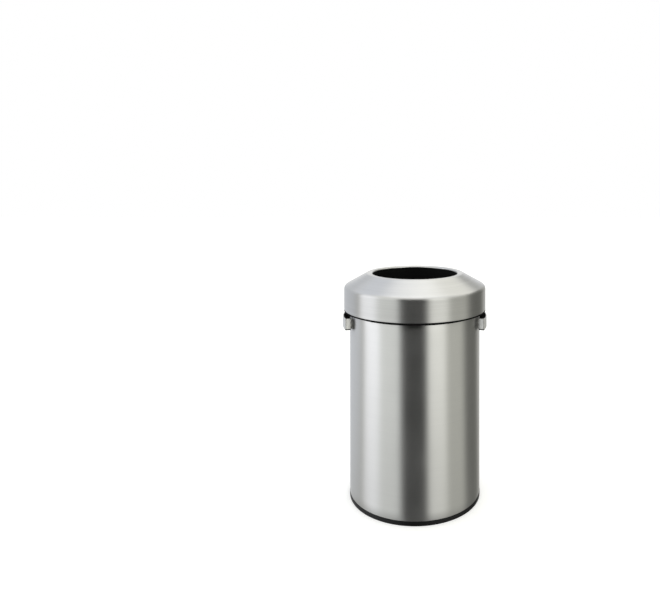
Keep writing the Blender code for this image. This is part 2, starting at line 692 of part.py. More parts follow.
def lid_shell(carrier):
    """The pressed steel lid, from its hem up over shoulder and cone and down into the mouth."""
    path = rounded(
        [
            (LID_RADIUS - LID_HEM_WIDTH, SKIRT_Z, 0),
            (LID_RADIUS, SKIRT_Z, LID_HEM_BEND),
            (LID_RADIUS, SHOULDER_Z, LID_SHOULDER_BEND),
            (CREST_RADIUS, CREST_Z, LID_CREST_BEND),
            (MOUTH_RADIUS, CREST_Z, MOUTH_LIP_BEND),
            (MOUTH_RADIUS, CREST_Z - MOUTH_LIP_DEPTH, 0),
        ]
    )
    return piece("lid_shell", lathe(sheet(path, LID_SHEET)), BRUSHED_STEEL, carrier)


def lid_frame(carrier):
    """The moulded ring in the lid: flange inside the skirt, foot on the collar, plug in its bore."""
    outline = rounded(
        [
            (FRAME_PLUG_BORE, FRAME_PLUG_Z, 0),
            (FRAME_PLUG_RADIUS, FRAME_PLUG_Z, 0),
            (FRAME_PLUG_RADIUS, FRAME_WEB_Z, 0),
            (FRAME_FOOT_INNER, FRAME_WEB_Z, 0),
            (FRAME_FOOT_INNER, FRAME_FOOT_Z, 0),
            (FRAME_FOOT_OUTER, FRAME_FOOT_Z, 0),
            (FRAME_FOOT_OUTER, FRAME_WEB_Z, 0),
            (FRAME_RADIUS, FRAME_WEB_Z, LID_HEM_BEND),
            (FRAME_RADIUS, FRAME_FLANGE_Z, 0),
            (FRAME_RADIUS - FRAME_WALL, FRAME_FLANGE_Z, 0),
            (FRAME_RADIUS - FRAME_WALL, FRAME_WEB_TOP_Z, 0),
            (FRAME_PLUG_BORE, FRAME_WEB_TOP_Z, 0),
        ],
        closed=True,
    )
    frame = piece("lid_frame", lathe(outline), BLACK_PLASTIC, carrier)
    outer = FRAME_RADIUS - FRAME_WALL + FRAME_RIB_ROOT
    inner = FRAME_FOOT_INNER
    bottom = FRAME_WEB_TOP_Z - FRAME_RIB_ROOT
    height = (FRAME_FLANGE_Z - FRAME_WEB_TOP_Z) / 2 + FRAME_RIB_ROOT
    ribs = radial_ribs(FRAME_RIB_COUNT, inner, outer, bottom, height, FRAME_RIB_THICKNESS)
    combine(frame, helper("lid_frame_ribs", ribs), "UNION")
    return frame


def lid_throat(carrier):
    """The sleeve that guides waste down: flange under the crest, wall round the mouth."""
    outline = rounded(
        [
            (THROAT_FLANGE_RADIUS, THROAT_TOP_Z, 0),
            (THROAT_RADIUS, THROAT_TOP_Z, THROAT_BEND),
            (THROAT_RADIUS, THROAT_BOTTOM_Z, 0),
            (THROAT_RADIUS + THROAT_WALL, THROAT_BOTTOM_Z, 0),
            (THROAT_RADIUS + THROAT_WALL, THROAT_TOP_Z - THROAT_WALL, 0),
            (THROAT_FLANGE_RADIUS, THROAT_TOP_Z - THROAT_WALL, 0),
        ],
        closed=True,
    )
    return piece("lid_throat", lathe(outline), BLACK_PLASTIC, carrier)


def build():
    clear_scene()
    bin_body = frame_empty("bin_body")
    bucket_lift = frame_empty("bucket_lift")
    bag_ring_lift = frame_empty("bag_ring_lift")
    lid_lift = frame_empty("lid_lift")
    bucket_lift.parent = bin_body
    bag_ring_lift.parent = bucket_lift
    lid_lift.parent = bag_ring_lift

    side_turns = {"right": 0.0, "left": math.pi}
    rivets = rivet_holes(side_turns.values())
    screws = base_screw_holes()
    combine(body_shell(bin_body), rivets, "DIFFERENCE")
    combine(base_ring(bin_body), screws, "DIFFERENCE")
    combine(floor_pan(bin_body), screws, "DIFFERENCE")
    base_screws(bin_body)
    rim_collar(bin_body)
    for side, side_turn in side_turns.items():
        handle_set(side, side_turn, bin_body, rivets)

    inner_bucket(bucket_lift)
    bucket_band(bucket_lift)
    bag_ring(bag_ring_lift)
    lid_shell(lid_lift)
    lid_frame(lid_lift)
    lid_throat(lid_lift)


build()
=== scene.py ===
"""Looks of an open-top waste bin: brushed stainless steel over black moulded parts.

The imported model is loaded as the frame. Each round piece is a fine profile spun about the bin's axis,
the handles are strips swept along their plan, and the studio is a ring of soft boxes painted on the world.
"""

import math

import bmesh
import bpy
import numpy as np
from bpy.props import FloatProperty, FloatVectorProperty, IntProperty, PointerProperty
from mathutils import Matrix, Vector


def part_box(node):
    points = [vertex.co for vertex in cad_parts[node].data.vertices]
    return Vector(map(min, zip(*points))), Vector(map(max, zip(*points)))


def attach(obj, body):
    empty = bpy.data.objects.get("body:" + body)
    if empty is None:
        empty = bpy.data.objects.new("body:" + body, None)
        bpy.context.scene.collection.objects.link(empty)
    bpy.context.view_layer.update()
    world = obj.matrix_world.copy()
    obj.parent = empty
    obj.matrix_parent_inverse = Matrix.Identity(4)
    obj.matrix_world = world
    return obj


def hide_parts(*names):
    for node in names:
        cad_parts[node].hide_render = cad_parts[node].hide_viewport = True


bl_info = {
    "name": "Open-Top Waste Bin",
    "version": (1, 0, 0),
    "blender": (4, 5, 0),
    "location": "View3D > Sidebar > Waste Bin",
    "description": "Builds the finished surfaces and the studio of an open-top waste bin",
    "category": "Add Mesh",
}

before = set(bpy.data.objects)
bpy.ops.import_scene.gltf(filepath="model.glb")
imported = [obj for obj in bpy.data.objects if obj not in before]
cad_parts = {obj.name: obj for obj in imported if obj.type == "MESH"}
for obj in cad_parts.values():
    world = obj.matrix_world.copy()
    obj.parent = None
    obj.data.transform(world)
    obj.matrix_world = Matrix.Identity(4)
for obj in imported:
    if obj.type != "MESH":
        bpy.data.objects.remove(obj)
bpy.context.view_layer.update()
MM = 0.001

# Bodies of the frame
BODY = "bin_body"
BUCKET = "bucket_body"
BAG_RING = "bag_ring_body"
LID = "lid_body"

# Running gaps, holding loops, and how finely bends and sheet ends are divided
SEAT_GAP = 0.3 * MM
HOLD = 0.6 * MM
BEND_STEP = math.radians(7.5)
END_STEPS = 6

# Points nearer than this are one point, and edges shorter than a tenth of it go
MERGE_GAP = 1e-7

# Ribs of the base ring and the lid's frame: thickness, and how far they run into the walls
RIB_THICKNESS = 2 * MM
RIB_ROOT = 0.9 * MM

# Heights and radii that the frame gives
SHELL_LOW, SHELL_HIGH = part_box("body_shell")
RING_LOW, RING_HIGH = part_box("base_ring")
PAN_LOW, PAN_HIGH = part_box("floor_pan")
COLLAR_LOW, COLLAR_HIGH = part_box("rim_collar")
STRAP_LOW, STRAP_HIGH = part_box("handle_right")
TUB_LOW, TUB_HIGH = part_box("inner_bucket")
BAND_LOW, BAND_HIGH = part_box("bucket_band")
BAG_LOW, BAG_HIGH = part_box("bag_ring")
LID_LOW, LID_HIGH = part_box("lid_shell")
FRAME_LOW, FRAME_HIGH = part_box("lid_frame")
THROAT_LOW, THROAT_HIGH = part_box("lid_throat")

# Camera, fitted to the photograph: pixels of its 660 by 590 frame, metres, and the sensor in millimetres
PHOTO_HEIGHT = 590
FOCAL_PIXELS = 609.85
CAMERA_PLACE = (0, -1.7476, 0.8983)
CAMERA_TILT = math.radians(0.647)
BIN_RIGHT_OF_CENTRE = 84.8
VIEW_ABOVE_CENTRE = 110.0
SENSOR_HEIGHT = 24.0
SENSOR_WIDTH = 18.4

# Studio walls and boxes round the bin: name, degrees to the right of the camera, half width, soft edge,
# strength, colour, and the heights of a direction at which the box is gone and full, or None
STUDIO = (
    ("back_left_wall", -152, 34, 22, 0.84, "#ECEFF5", (-0.54, -0.30)),
    ("left_fill", -56, 30, 12, 1.07, "#F4F6F4", None),
    ("left_box", -80, 7, 16, 1.60, "#F6F7FB", (-0.54, -0.30)),
    ("right_fill", 69, 21, 12, 0.65, "#F6F6EC", None),
    ("right_box", 38, 7, 15, 1.44, "#FAFAF4", (-0.52, -0.22)),
    ("right_flag", 117, 8, 25, 0.18, "#F6F6EC", None),
    ("camera_flag", -3.5, 17.5, 9, 0.008, "#FFFFFF", None),
)

# Bands of height, drawn over the studio: the heights of a direction at which one is gone and full,
# strength and colour. The floor's band is what the steel sees of the floor.
WALL = (0.54, 0.54, 0.51, 1.0)
FLOOR_BAND = ((-0.36, -0.80), 0.12, "#F4F4F2")
CEILING_BAND = ((0.40, 0.66), 1.10, "#FBFBF8")
TOP_LIGHT_BAND = ((0.82, 0.98), 1.70, "#FFFFFF")

# Patches of the ceiling, laid out as the studio's boxes are, and drawn over its band
CEILING = (
    ("cool_left", -148, 30, 40, 1.06, "#EFF3FC", (0.40, 0.66)),
    ("warm_right", 140, 25, 30, 1.33, "#FDFCF5", (0.40, 0.66)),
)

# The white backdrop behind the bin, as the metal sees it: degrees, half width, soft edge, and the heights
# at which it is gone and full. It ends under the ceiling.
BACKDROP = (180, 8, 10, (0.66, 0.40))

# The painted floor, and the glow that lifts it to white for the camera
FLOOR_HALF_WIDTH = 12.0
FLOOR_GLOW = 0.36

# The boxes lean: below this height of a direction they drift to the right, radians per unit of height
LIGHT_LEAN_BELOW = -0.25
LIGHT_LEAN = 0.4


def linear(hex_colour):
    """An sRGB hex colour as linear red, green and blue."""
    channels = np.array([int(hex_colour[i : i + 2], 16) for i in (1, 3, 5)]) / 255
    low = channels / 12.92
    high = ((channels + 0.055) / 1.055) ** 2.4
    return tuple(float(value) for value in np.where(channels <= 0.04045, low, high))


def length_property(name, description, default):
    """A length in metres that can be set."""
    return FloatProperty(
        name=name, description=description, default=default, min=0, unit="LENGTH", precision=4
    )


def colour_property(name, description, hex_colour):
    """A colour that can be set, given as sRGB hex."""
    return FloatVectorProperty(
        name=name, description=description, default=linear(hex_colour), min=0, max=1, subtype="COLOR"
    )


class WasteBinSizes(bpy.types.PropertyGroup):
    """Sizes of the sheets, walls and bends that the frame's boxes don't give."""

    segments: IntProperty(name="Segments", description="Facets round the bin", default=240, min=24)
    sheet: length_property("Steel sheet", "Thickness of body, lid and pan", 0.8 * MM)
    band_wall: length_property("Base ring wall", "Wall of the base ring", 2.6 * MM)
    band_width: length_property("Base ring width", "Width of the base ring", 15.5 * MM)
    band_round: length_property("Base ring foot", "Rounding where the ring meets the floor", 1.6 * MM)
    pan_step_radius: length_property("Pan step radius", "Radius of the raised middle", 120 * MM)
    pan_step_height: length_property("Pan step height", "Height of the raised middle", 3.5 * MM)
    pan_step_run: length_property("Pan step run", "Width of the slope round the middle", 7 * MM)
    pan_bend: length_property("Pan bend", "Bend radius of the pan", 3 * MM)
    collar_wall: length_property("Collar wall", "Wall of the rim collar", 2 * MM)
    collar_lip: length_property("Collar lip", "How far the lip covers the shell", 2.5 * MM)
    collar_cap: length_property("Collar cap", "Thickness of the cap and the ledge", 2.2 * MM)
    collar_seat: length_property("Collar seat", "Depth of the ledge below the cap", 17 * MM)
    ledge_width: length_property("Ledge width", "Width of the bucket's ledge", 6.9 * MM)
    strap_sheet: length_property("Strap sheet", "Thickness of the handle straps", 2 * MM)
    strap_edge: length_property("Strap edge", "Rounding of the straps' edges", 0.95 * MM)
    strap_flange: length_property("Strap flange", "Length of the riveted flanges", 20 * MM)
    strap_half_angle: FloatProperty(
        name="Strap half angle",
        description="Half the angle that a handle spans",
        default=math.radians(20),
        subtype="ANGLE",
    )
    strap_root_bend: length_property("Strap root bend", "Bend from flange to leg", 2.2 * MM)
    strap_corner_bend: length_property("Strap corner bend", "Bend from leg to grip", 3.6 * MM)
    # The lining inside the straps is partly painted shade: it darkens their hollows, and its drop draws a
    # dark line under each strap.
    lining_sheet: length_property("Lining sheet", "Thickness of the lining in the straps", 1.2 * MM)
    shade_lining_drop: length_property("Lining drop", "How far the lining shows under the strap", 3 * MM)
    bucket_wall: length_property("Bucket wall", "Wall of the bucket", 2.4 * MM)
    bucket_edge: length_property("Bucket edge", "The tub's straight edge under the band", 8 * MM)
    bag_ring_wall: length_property("Bag ring wall", "Wall of the bag ring", 2.2 * MM)
    hem_width: length_property("Hem width", "Width of the lid's hem", 5 * MM)
    hem_bend: length_property("Hem bend", "Bend radius of the hem", 1.2 * MM)
    skirt_height: length_property("Skirt height", "From the hem to the shoulder's corner", 64.5 * MM)
    shoulder_bend: length_property("Shoulder bend", "Bend radius of the shoulder", 12 * MM)
    crest_width: length_property("Crest width", "Flat ring round the mouth", 15.5 * MM)
    crest_bend: length_property("Crest bend", "Bend radius from cone to crest", 10 * MM)
    lip_bend: length_property("Lip bend", "Bend radius into the mouth", 4 * MM)
    lip_depth: length_property("Lip depth", "Depth of the lip in the mouth", 4.6 * MM)
    throat_flange: length_property("Throat flange", "Width of the throat's flange", 10 * MM)
    throat_wall: length_property("Throat wall", "Wall of the throat", 2.2 * MM)
    frame_wall: length_property("Lid frame wall", "Wall of the lid's inner frame", 2.4 * MM)
    # The edging under the hem is partly painted shade: it shows as a black line where the gap under the hem
    # is in shadow.
    edging_drop: length_property("Edging drop", "How far the edging shows under the hem", 3.6 * MM)


class WasteBinFinishes(bpy.types.PropertyGroup):
    """Colours and gloss of the finishes."""

    body_steel: colour_property("Body steel", "Brushed stainless steel of body and straps", "#DCDCDA")
    lid_steel: colour_property("Lid steel", "Brushed stainless steel of the lid", "#D2D2D0")
    plain_steel: colour_property("Plain steel", "Cold-rolled steel of pan and backing plates", "#B4B5B4")
    zinc: colour_property("Zinc", "Zinc plate on the screws", "#C3C4BF")
    rivet_steel: colour_property("Rivet steel", "Drawn steel of the rivets", "#C8C8C6")
    black_abs: colour_property("Black ABS", "Moulded rings, frame and throat", "#0A0A0B")
    black_polypropylene: colour_property("Black polypropylene", "Bucket", "#0C0C0D")
    floor: colour_property("Floor", "Plain studio floor", "#E6E6E4")
    steel_roughness: FloatProperty(
        name="Steel roughness", description="Roughness of the brushed steel", default=0.32, min=0, max=1
    )
    steel_stretch: FloatProperty(
        name="Steel stretch", description="How far brushing stretches a light", default=0.87, min=0, max=1
    )


def unit(vector):
    """The vector at length 1."""
    return vector / np.linalg.norm(vector)


def arc(before, corner, after, radius):
    """Points on the circle of that radius which touches both sides of a corner, from side to side."""
    inward = unit(before - corner)
    outward = unit(after - corner)
    half = math.acos(float(np.clip(inward @ outward, -1, 1))) / 2
    centre = corner + unit(inward + outward) * radius / math.sin(half)
    spoke = corner + inward * radius / math.tan(half) - centre
    side = 1 if inward[0] * outward[1] - inward[1] * outward[0] < 0 else -1
    turn = math.pi - 2 * half
    angles = side * np.linspace(0, turn, max(2, math.ceil(turn / BEND_STEP)) + 1)
    cosine, sine = np.cos(angles), np.sin(angles)
    across = spoke[0] * cosine - spoke[1] * sine
    along = spoke[0] * sine + spoke[1] * cosine
    return centre + np.stack([across, along], 1)


def rounded(corners, closed=False):
    """Straight runs through (x, y, bend) corners, joined by arcs that touch them.

    A long run that ends in an arc gets a holding point just inside that end, so that the arc's
    smooth shading doesn't spread along the run.
    """
    corners = np.array(corners, float)
    places, bends = corners[:, :2], corners[:, 2]
    count = len(places)
    pieces = []
    for index in range(count):
        is_end = not closed and index in (0, count - 1)
        if bends[index] > 0 and not is_end:
            after = places[(index + 1) % count]
            pieces.append(arc(places[index - 1], places[index], after, bends[index]))
        else:
            pieces.append(places[index : index + 1])
    outline = []
    for index, piece in enumerate(pieces):
        outline.append(piece)
        if not closed and index == count - 1:
            break
        start, end = piece[-1], pieces[(index + 1) % count][0]
        run = np.linalg.norm(end - start)
        if run > 4 * HOLD:
            step = (end - start) / run * HOLD
            held = [start + step] * (len(piece) > 1) + [end - step] * (len(pieces[(index + 1) % count]) > 1)
            if held:
                outline.append(np.array(held))
    return np.concatenate(outline)


def left_normals(path):
    """Left-hand normals of an open path, lengthened at its bends so that a sheet keeps its thickness."""
    along = np.diff(path, axis=0)
    along /= np.linalg.norm(along, axis=1, keepdims=True)
    normals = np.stack([-along[:, 1], along[:, 0]], 1)
    before = np.vstack([normals[:1], normals])
    after = np.vstack([normals, normals[-1:]])
    middle = before + after
    middle /= np.linalg.norm(middle, axis=1, keepdims=True)
    return middle / np.sum(middle * before, axis=1, keepdims=True)


def sheet_outline(path, thickness):
    """The outline of a sheet on the left of its path: the path, its offset copy, and half-round ends.

    The path is drawn in by half the thickness, so that its round ends stop where it was given to end.
    An end on the axis stays open, because the spin closes it.
    """
    path = path.copy()
    for end, inner in ((0, 1), (-1, -2)):
        if path[end, 0] > 0:
            path[end] += unit(path[inner] - path[end]) * thickness / 2
    offset = path + left_normals(path) * thickness

    def tip(start, end, outwards):
        turn = np.linspace(0, math.pi, END_STEPS + 1)[1:-1, None]
        middle = (start + end) / 2
        return middle + (start - middle) * np.cos(turn) + outwards * thickness / 2 * np.sin(turn)

    parts = [path]
    if path[-1, 0] > 0:
        parts.append(tip(path[-1], offset[-1], unit(path[-1] - path[-2])))
    parts.append(offset[::-1])
    if path[0, 0] > 0:
        parts.append(tip(offset[0], path[0], unit(path[0] - path[1])))
    return np.concatenate(parts)


def spin_grid(outline, segments):
    """Points (r cos a, r sin a, z) for every outline point (r, z) and every angle a."""
    angles = np.arange(segments) * 2 * math.pi / segments
    radius, height = outline[:, :1], outline[:, 1:]
    return np.stack([radius * np.cos(angles), radius * np.sin(angles), height + 0 * angles], axis=-1)


def grid_faces(rows, columns, wrap_rows, wrap_columns):
    """Quads of a grid of rows by columns, whose numbers run along the columns first."""
    row = np.arange(rows if wrap_rows else rows - 1)[:, None]
    column = np.arange(columns if wrap_columns else columns - 1)[None, :]
    next_row = (row + 1) % rows
    next_column = (column + 1) % columns
    corners = [
        row * columns + column,
        row * columns + next_column,
        next_row * columns + next_column,
        next_row * columns + column,
    ]
    shape = (row.shape[0], column.shape[1])
    return np.stack([np.broadcast_to(corner, shape) for corner in corners], -1).reshape(-1, 4)


def tube_faces(rows, columns):
    """Faces of a tube whose columns run round it, with a cap at each end, as lists."""
    first_cap = list(range(columns))
    last_cap = list(range(columns * (rows - 1), columns * rows))
    return grid_faces(rows, columns, False, True).tolist() + [first_cap, last_cap]


def new_mesh(name, points, faces, closed=True):
    """A mesh from arrays: doubles merged, faces turned outwards, smooth but for edges over 35 degrees."""
    mesh = bpy.data.meshes.new(name)
    if isinstance(faces, np.ndarray):
        faces = faces.tolist()
    mesh.from_pydata(points.reshape(-1, 3).tolist(), [], faces)
    shape = bmesh.new()
    shape.from_mesh(mesh)
    bmesh.ops.remove_doubles(shape, verts=shape.verts, dist=MERGE_GAP)
    bmesh.ops.dissolve_degenerate(shape, edges=shape.edges, dist=MERGE_GAP / 10)
    if closed:
        bmesh.ops.recalc_face_normals(shape, faces=shape.faces)
    shape.to_mesh(mesh)
    shape.free()
    mesh.shade_smooth()
    mesh.set_sharp_from_angle(angle=math.radians(35))
    obj = bpy.data.objects.new(name, mesh)
    bpy.context.scene.collection.objects.link(obj)
    return obj


def spun(name, outline, segments):
    """The outline spun about the bin's axis. It closes on itself, or starts and ends on the axis."""
    on_axis = outline[0, 0] <= 0
    faces = grid_faces(len(outline), segments, not on_axis, True)
    return new_mesh(name, spin_grid(outline, segments), faces)


def dress(obj, body, material, nodes=()):
    """Gives a piece its material, its body and the CAD nodes that it stands for."""
    obj.data.materials.clear()
    obj.data.materials.append(material)
    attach(obj, body)
    if nodes:
        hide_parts(*nodes)
    return obj


def add_node(tree, kind, inputs=None, **settings):
    """Adds a node, sets its properties, and fills each input with a value or a link from a socket."""
    node = tree.nodes.new(kind)
    for key, value in settings.items():
        setattr(node, key, value)
    for key, value in (inputs or {}).items():
        if isinstance(value, bpy.types.NodeSocket):
            tree.links.new(value, node.inputs[key])
        else:
            node.inputs[key].default_value = value
    return node


def blank_material(name):
    """A new material with an empty node tree and its output node."""
    material = bpy.data.materials.new(name)
    material.use_nodes = True
    tree = material.node_tree
    tree.nodes.clear()
    return material, tree, tree.nodes.new("ShaderNodeOutputMaterial")


def shaded(tree, colour, pattern, low, high, darkest, palest):
    """A colour times a grey that runs from darkest to palest while the pattern runs from low to high."""
    tone = add_node(tree, "ShaderNodeMapRange", {0: pattern, 1: low, 2: high, 3: darkest, 4: palest})
    return add_node(
        tree,
        "ShaderNodeMix",
        {0: 1.0, 6: (*colour, 1.0), 7: tone.outputs[0]},
        data_type="RGBA",
        blend_type="MULTIPLY",
    ).outputs[2]


def brushed_steel(name, colour, line_spacing, line_depth, along_strap=False):
    """Stainless steel sheet, brushed with a fine belt: round the bin, or along a strap.

    The belt leaves hair lines that run level, so a light stretches upright and its edges stay crisp
    from side to side. The lines are noise that changes fast with height and radius and slowly round
    the bin, or slowly along the strap's UV map. Broader streaks of the same kind and a few smudges,
    which change the gloss, lie over them. Line depth is how much darker the darkest line is.
    """
    finishes = bpy.context.scene.waste_bin_finishes
    line_run = 333 * MM
    streak_spacing = 14 * MM
    smudge_size = 111 * MM
    scratch_depth = 0.02 * MM
    material, tree, output = blank_material(name)
    coordinates = add_node(tree, "ShaderNodeTexCoord").outputs
    place = coordinates["Object"]
    parts = add_node(tree, "ShaderNodeSeparateXYZ", {0: place})
    if along_strap:
        only_u = {0: coordinates["UV"], 1: (1, 0, 0)}
        flat = add_node(tree, "ShaderNodeVectorMath", only_u, operation="MULTIPLY").outputs[0]
        radius = 0.0
        tangent = add_node(tree, "ShaderNodeTangent", direction_type="UV_MAP", uv_map="along_strap")
    else:
        flat = add_node(tree, "ShaderNodeCombineXYZ", {0: parts.outputs[0], 1: parts.outputs[1]}).outputs[0]
        radius = add_node(tree, "ShaderNodeVectorMath", {0: flat}, operation="LENGTH").outputs["Value"]
        tangent = add_node(tree, "ShaderNodeTangent", direction_type="RADIAL", axis="Z")

    def lines(spacing, detail):
        """Noise over three distances: along the lines, outwards, and up."""
        outwards = add_node(tree, "ShaderNodeMath", {0: radius, 1: 1 / spacing}, operation="MULTIPLY")
        up = add_node(tree, "ShaderNodeMath", {0: parts.outputs[2], 1: 1 / spacing}, operation="MULTIPLY")
        along = add_node(tree, "ShaderNodeVectorMath", {0: flat, "Scale": 1 / line_run}, operation="SCALE")
        lifted = add_node(tree, "ShaderNodeCombineXYZ", {2: outwards.outputs[0]})
        both = {0: along.outputs[0], 1: lifted.outputs[0]}
        vector = add_node(tree, "ShaderNodeVectorMath", both, operation="ADD").outputs[0]
        return add_node(
            tree,
            "ShaderNodeTexNoise",
            {"Vector": vector, "W": up.outputs[0], "Scale": 1.0, "Detail": detail, "Roughness": 0.6},
            noise_dimensions="4D",
        ).outputs["Fac"]

    hair = lines(line_spacing, 3.0)
    streak = lines(streak_spacing, 2.0)
    blotches = {"Vector": place, "Scale": 1 / smudge_size, "Detail": 3.0, "Roughness": 0.5}
    smudge = add_node(tree, "ShaderNodeTexNoise", blotches).outputs["Fac"]
    brushing = add_node(tree, "ShaderNodeMix", {0: 0.3, 2: hair, 3: streak}).outputs[0]
    polished = finishes.steel_roughness - 0.02
    dull = finishes.steel_roughness + 0.03
    gloss = add_node(tree, "ShaderNodeMapRange", {0: smudge, 1: 0.3, 2: 0.7, 3: polished, 4: dull})
    grain = add_node(tree, "ShaderNodeBump", {"Strength": 0.12, "Distance": scratch_depth, "Height": hair})
    shader = add_node(
        tree,
        "ShaderNodeBsdfPrincipled",
        {
            "Base Color": shaded(tree, colour, brushing, 0.3, 0.7, 1 - line_depth, 1.0),
            "Metallic": 1.0,
            "Roughness": gloss.outputs[0],
            "Anisotropic": finishes.steel_stretch,
            "Anisotropic Rotation": 0.25,
            "Normal": grain.outputs[0],
            "Tangent": tangent.outputs[0],
        },
    )
    tree.links.new(shader.outputs[0], output.inputs["Surface"])
    return material


def plain_metal(name, colour, roughness, grain_size, grain_height, tone_spread):
    """Unbrushed metal: cold-rolled, plated or drawn, with a fine even grain and cloudy tone.

    The real grain is finer than 0.1 mm, and is drawn 0.3 to 0.5 mm wide to show from near.
    """
    cloud_size = 71.4 * MM
    material, tree, output = blank_material(name)
    place = add_node(tree, "ShaderNodeTexCoord").outputs["Object"]
    specks = {"Vector": place, "Scale": 1 / grain_size, "Detail": 4.0, "Roughness": 0.6}
    clouds = {"Vector": place, "Scale": 1 / cloud_size, "Detail": 3.0}
    grain = add_node(tree, "ShaderNodeTexNoise", specks).outputs["Fac"]
    cloud = add_node(tree, "ShaderNodeTexNoise", clouds).outputs["Fac"]
    polished = roughness - 0.04
    dull = roughness + 0.05
    gloss = add_node(tree, "ShaderNodeMapRange", {0: grain, 1: 0.3, 2: 0.7, 3: polished, 4: dull})
    bump = add_node(tree, "ShaderNodeBump", {"Strength": 0.3, "Distance": grain_height, "Height": grain})
    shader = add_node(
        tree,
        "ShaderNodeBsdfPrincipled",
        {
            "Base Color": shaded(tree, colour, cloud, 0.3, 0.7, 1 - tone_spread, 1.0),
            "Metallic": 1.0,
            "Roughness": gloss.outputs[0],
            "Normal": bump.outputs[0],
        },
    )
    tree.links.new(shader.outputs[0], output.inputs["Surface"])
    return material


def moulded_black(name, colour, roughness, grain_size, grain_height, specular):
    """Black plastic or rubber from a mould: a fine pebbled grain, and clouds of dust that dull it."""
    dust_size = 91 * MM
    material, tree, output = blank_material(name)
    place = add_node(tree, "ShaderNodeTexCoord").outputs["Object"]
    pebbles = {"Vector": place, "Scale": 1 / grain_size, "Detail": 3.0, "Roughness": 0.55}
    clouds = {"Vector": place, "Scale": 1 / dust_size, "Detail": 4.0}
    grain = add_node(tree, "ShaderNodeTexNoise", pebbles).outputs["Fac"]
    dust = add_node(tree, "ShaderNodeTexNoise", clouds).outputs["Fac"]
    clean = roughness - 0.03
    dusty = roughness + 0.05
    gloss = add_node(tree, "ShaderNodeMapRange", {0: dust, 1: 0.3, 2: 0.7, 3: clean, 4: dusty})
    bump = add_node(tree, "ShaderNodeBump", {"Strength": 0.35, "Distance": grain_height, "Height": grain})
    shader = add_node(
        tree,
        "ShaderNodeBsdfPrincipled",
        {
            "Base Color": shaded(tree, colour, dust, 0.35, 0.75, 0.85, 1.25),
            "Roughness": gloss.outputs[0],
            "IOR": 1.53,
            "Specular IOR Level": specular,
            "Normal": bump.outputs[0],
        },
    )
    tree.links.new(shader.outputs[0], output.inputs["Surface"])
    return material


# Each finish: the function that makes it, the property that holds its colour, and that function's
# other values in its own order
FINISHES = {
    # Stainless sheet, brushed round the body with a fine belt: level hair lines that draw each light
    # into an upright band. Real ones are about 0.15 mm apart. They are drawn 0.9 mm apart to show.
    "brushed_stainless_body": (brushed_steel, "body_steel", 0.9 * MM, 0.045),
    # The same sheet, spun into the lid and brushed: its lines show from further off than the body's,
    # as fine level streaks, so they are drawn 2.2 mm apart and deeper.
    "brushed_stainless_lid": (brushed_steel, "lid_steel", 2.2 * MM, 0.12),
    # The same sheet brushed along the strap: a highlight runs up the outside of each bend.
    "brushed_stainless_strap": (brushed_steel, "body_steel", 0.9 * MM, 0.045, True),
    # Mild steel as the rolls leave it: grey, faintly clouded, with a soft sheen.
    "cold_rolled_steel": (plain_metal, "plain_steel", 0.42, 0.5 * MM, 0.01 * MM, 0.12),
    # Bright zinc plate: paler than the sheet round it, slightly yellow, and a little blotchy.
    "zinc_plated_steel": (plain_metal, "zinc", 0.34, 0.3 * MM, 0.01 * MM, 0.10),
    # Wire drawn through a die, or a bead ground flush: smooth and bright, with tight highlights.
    "drawn_rivet_steel": (plain_metal, "rivet_steel", 0.30, 0.3 * MM, 0.005 * MM, 0.06),
    # ABS from a spark-eroded mould: black and satin, its highlights broken up by the grain.
    "moulded_black_abs": (moulded_black, "black_abs", 0.42, 0.35 * MM, 0.012 * MM, 0.3),
    # ABS from a blasted mould: matt, so that the mouth stays dark down its sleeve.
    "matt_moulded_black_abs": (moulded_black, "black_abs", 0.6, 0.35 * MM, 0.012 * MM, 0.12),
    # Polypropylene with a coarser grain: a shade greyer, waxy, with wide soft highlights.
    "moulded_black_polypropylene": (moulded_black, "black_polypropylene", 0.52, 0.6 * MM, 0.02 * MM, 0.3),
    # Rubber, moulded and left rough: it throws back hardly any light, so it reads as a black line. It is
    # partly a real edging and partly painted shade, put where the gap under the lid's hem lies in shadow.
    "black_rubber_painted_gap_shade": (moulded_black, "black_abs", 0.75, 0.35 * MM, 0.02 * MM, 0.1),
}


def finish(name):
    """The named finish, made once."""
    material = bpy.data.materials.get(name)
    if material:
        return material
    make, colour, *values = FINISHES[name]
    return make(name, getattr(bpy.context.scene.waste_bin_finishes, colour), *values)


def ribs(name, count, start, end, low, high):
    """Upright plates between two radii, evenly spaced round the axis, as one mesh of closed boxes."""
    half = RIB_THICKNESS / 2
    corners = np.array([(r, t, z) for r in (start, end) for t in (-half, half) for z in (low, high)])
    angles = (np.arange(count) + 0.5)[:, None] * 2 * math.pi / count
    cosine, sine = np.cos(angles), np.sin(angles)
    points = np.stack(
        [
            corners[:, 0] * cosine - corners[:, 1] * sine,
            corners[:, 0] * sine + corners[:, 1] * cosine,
            corners[:, 2] + 0 * cosine,
        ],
        -1,
    )
    faces = np.array([(0, 1, 3, 2), (4, 6, 7, 5), (0, 4, 5, 1), (2, 3, 7, 6), (0, 2, 6, 4), (1, 5, 7, 3)])
    every = (faces + len(corners) * np.arange(count)[:, None, None]).reshape(-1, 4)
    return new_mesh(name, points, every)


def background_rays(tree):
    """The rays that show a background: the camera's own, and those that metal or glass passes on."""
    path = add_node(tree, "ShaderNodeLightPath").outputs
    either = {0: path["Is Glossy Ray"], 1: path["Is Transmission Ray"]}
    passed_on = add_node(tree, "ShaderNodeMath", either, operation="MAXIMUM").outputs[0]
    return path["Is Camera Ray"], passed_on


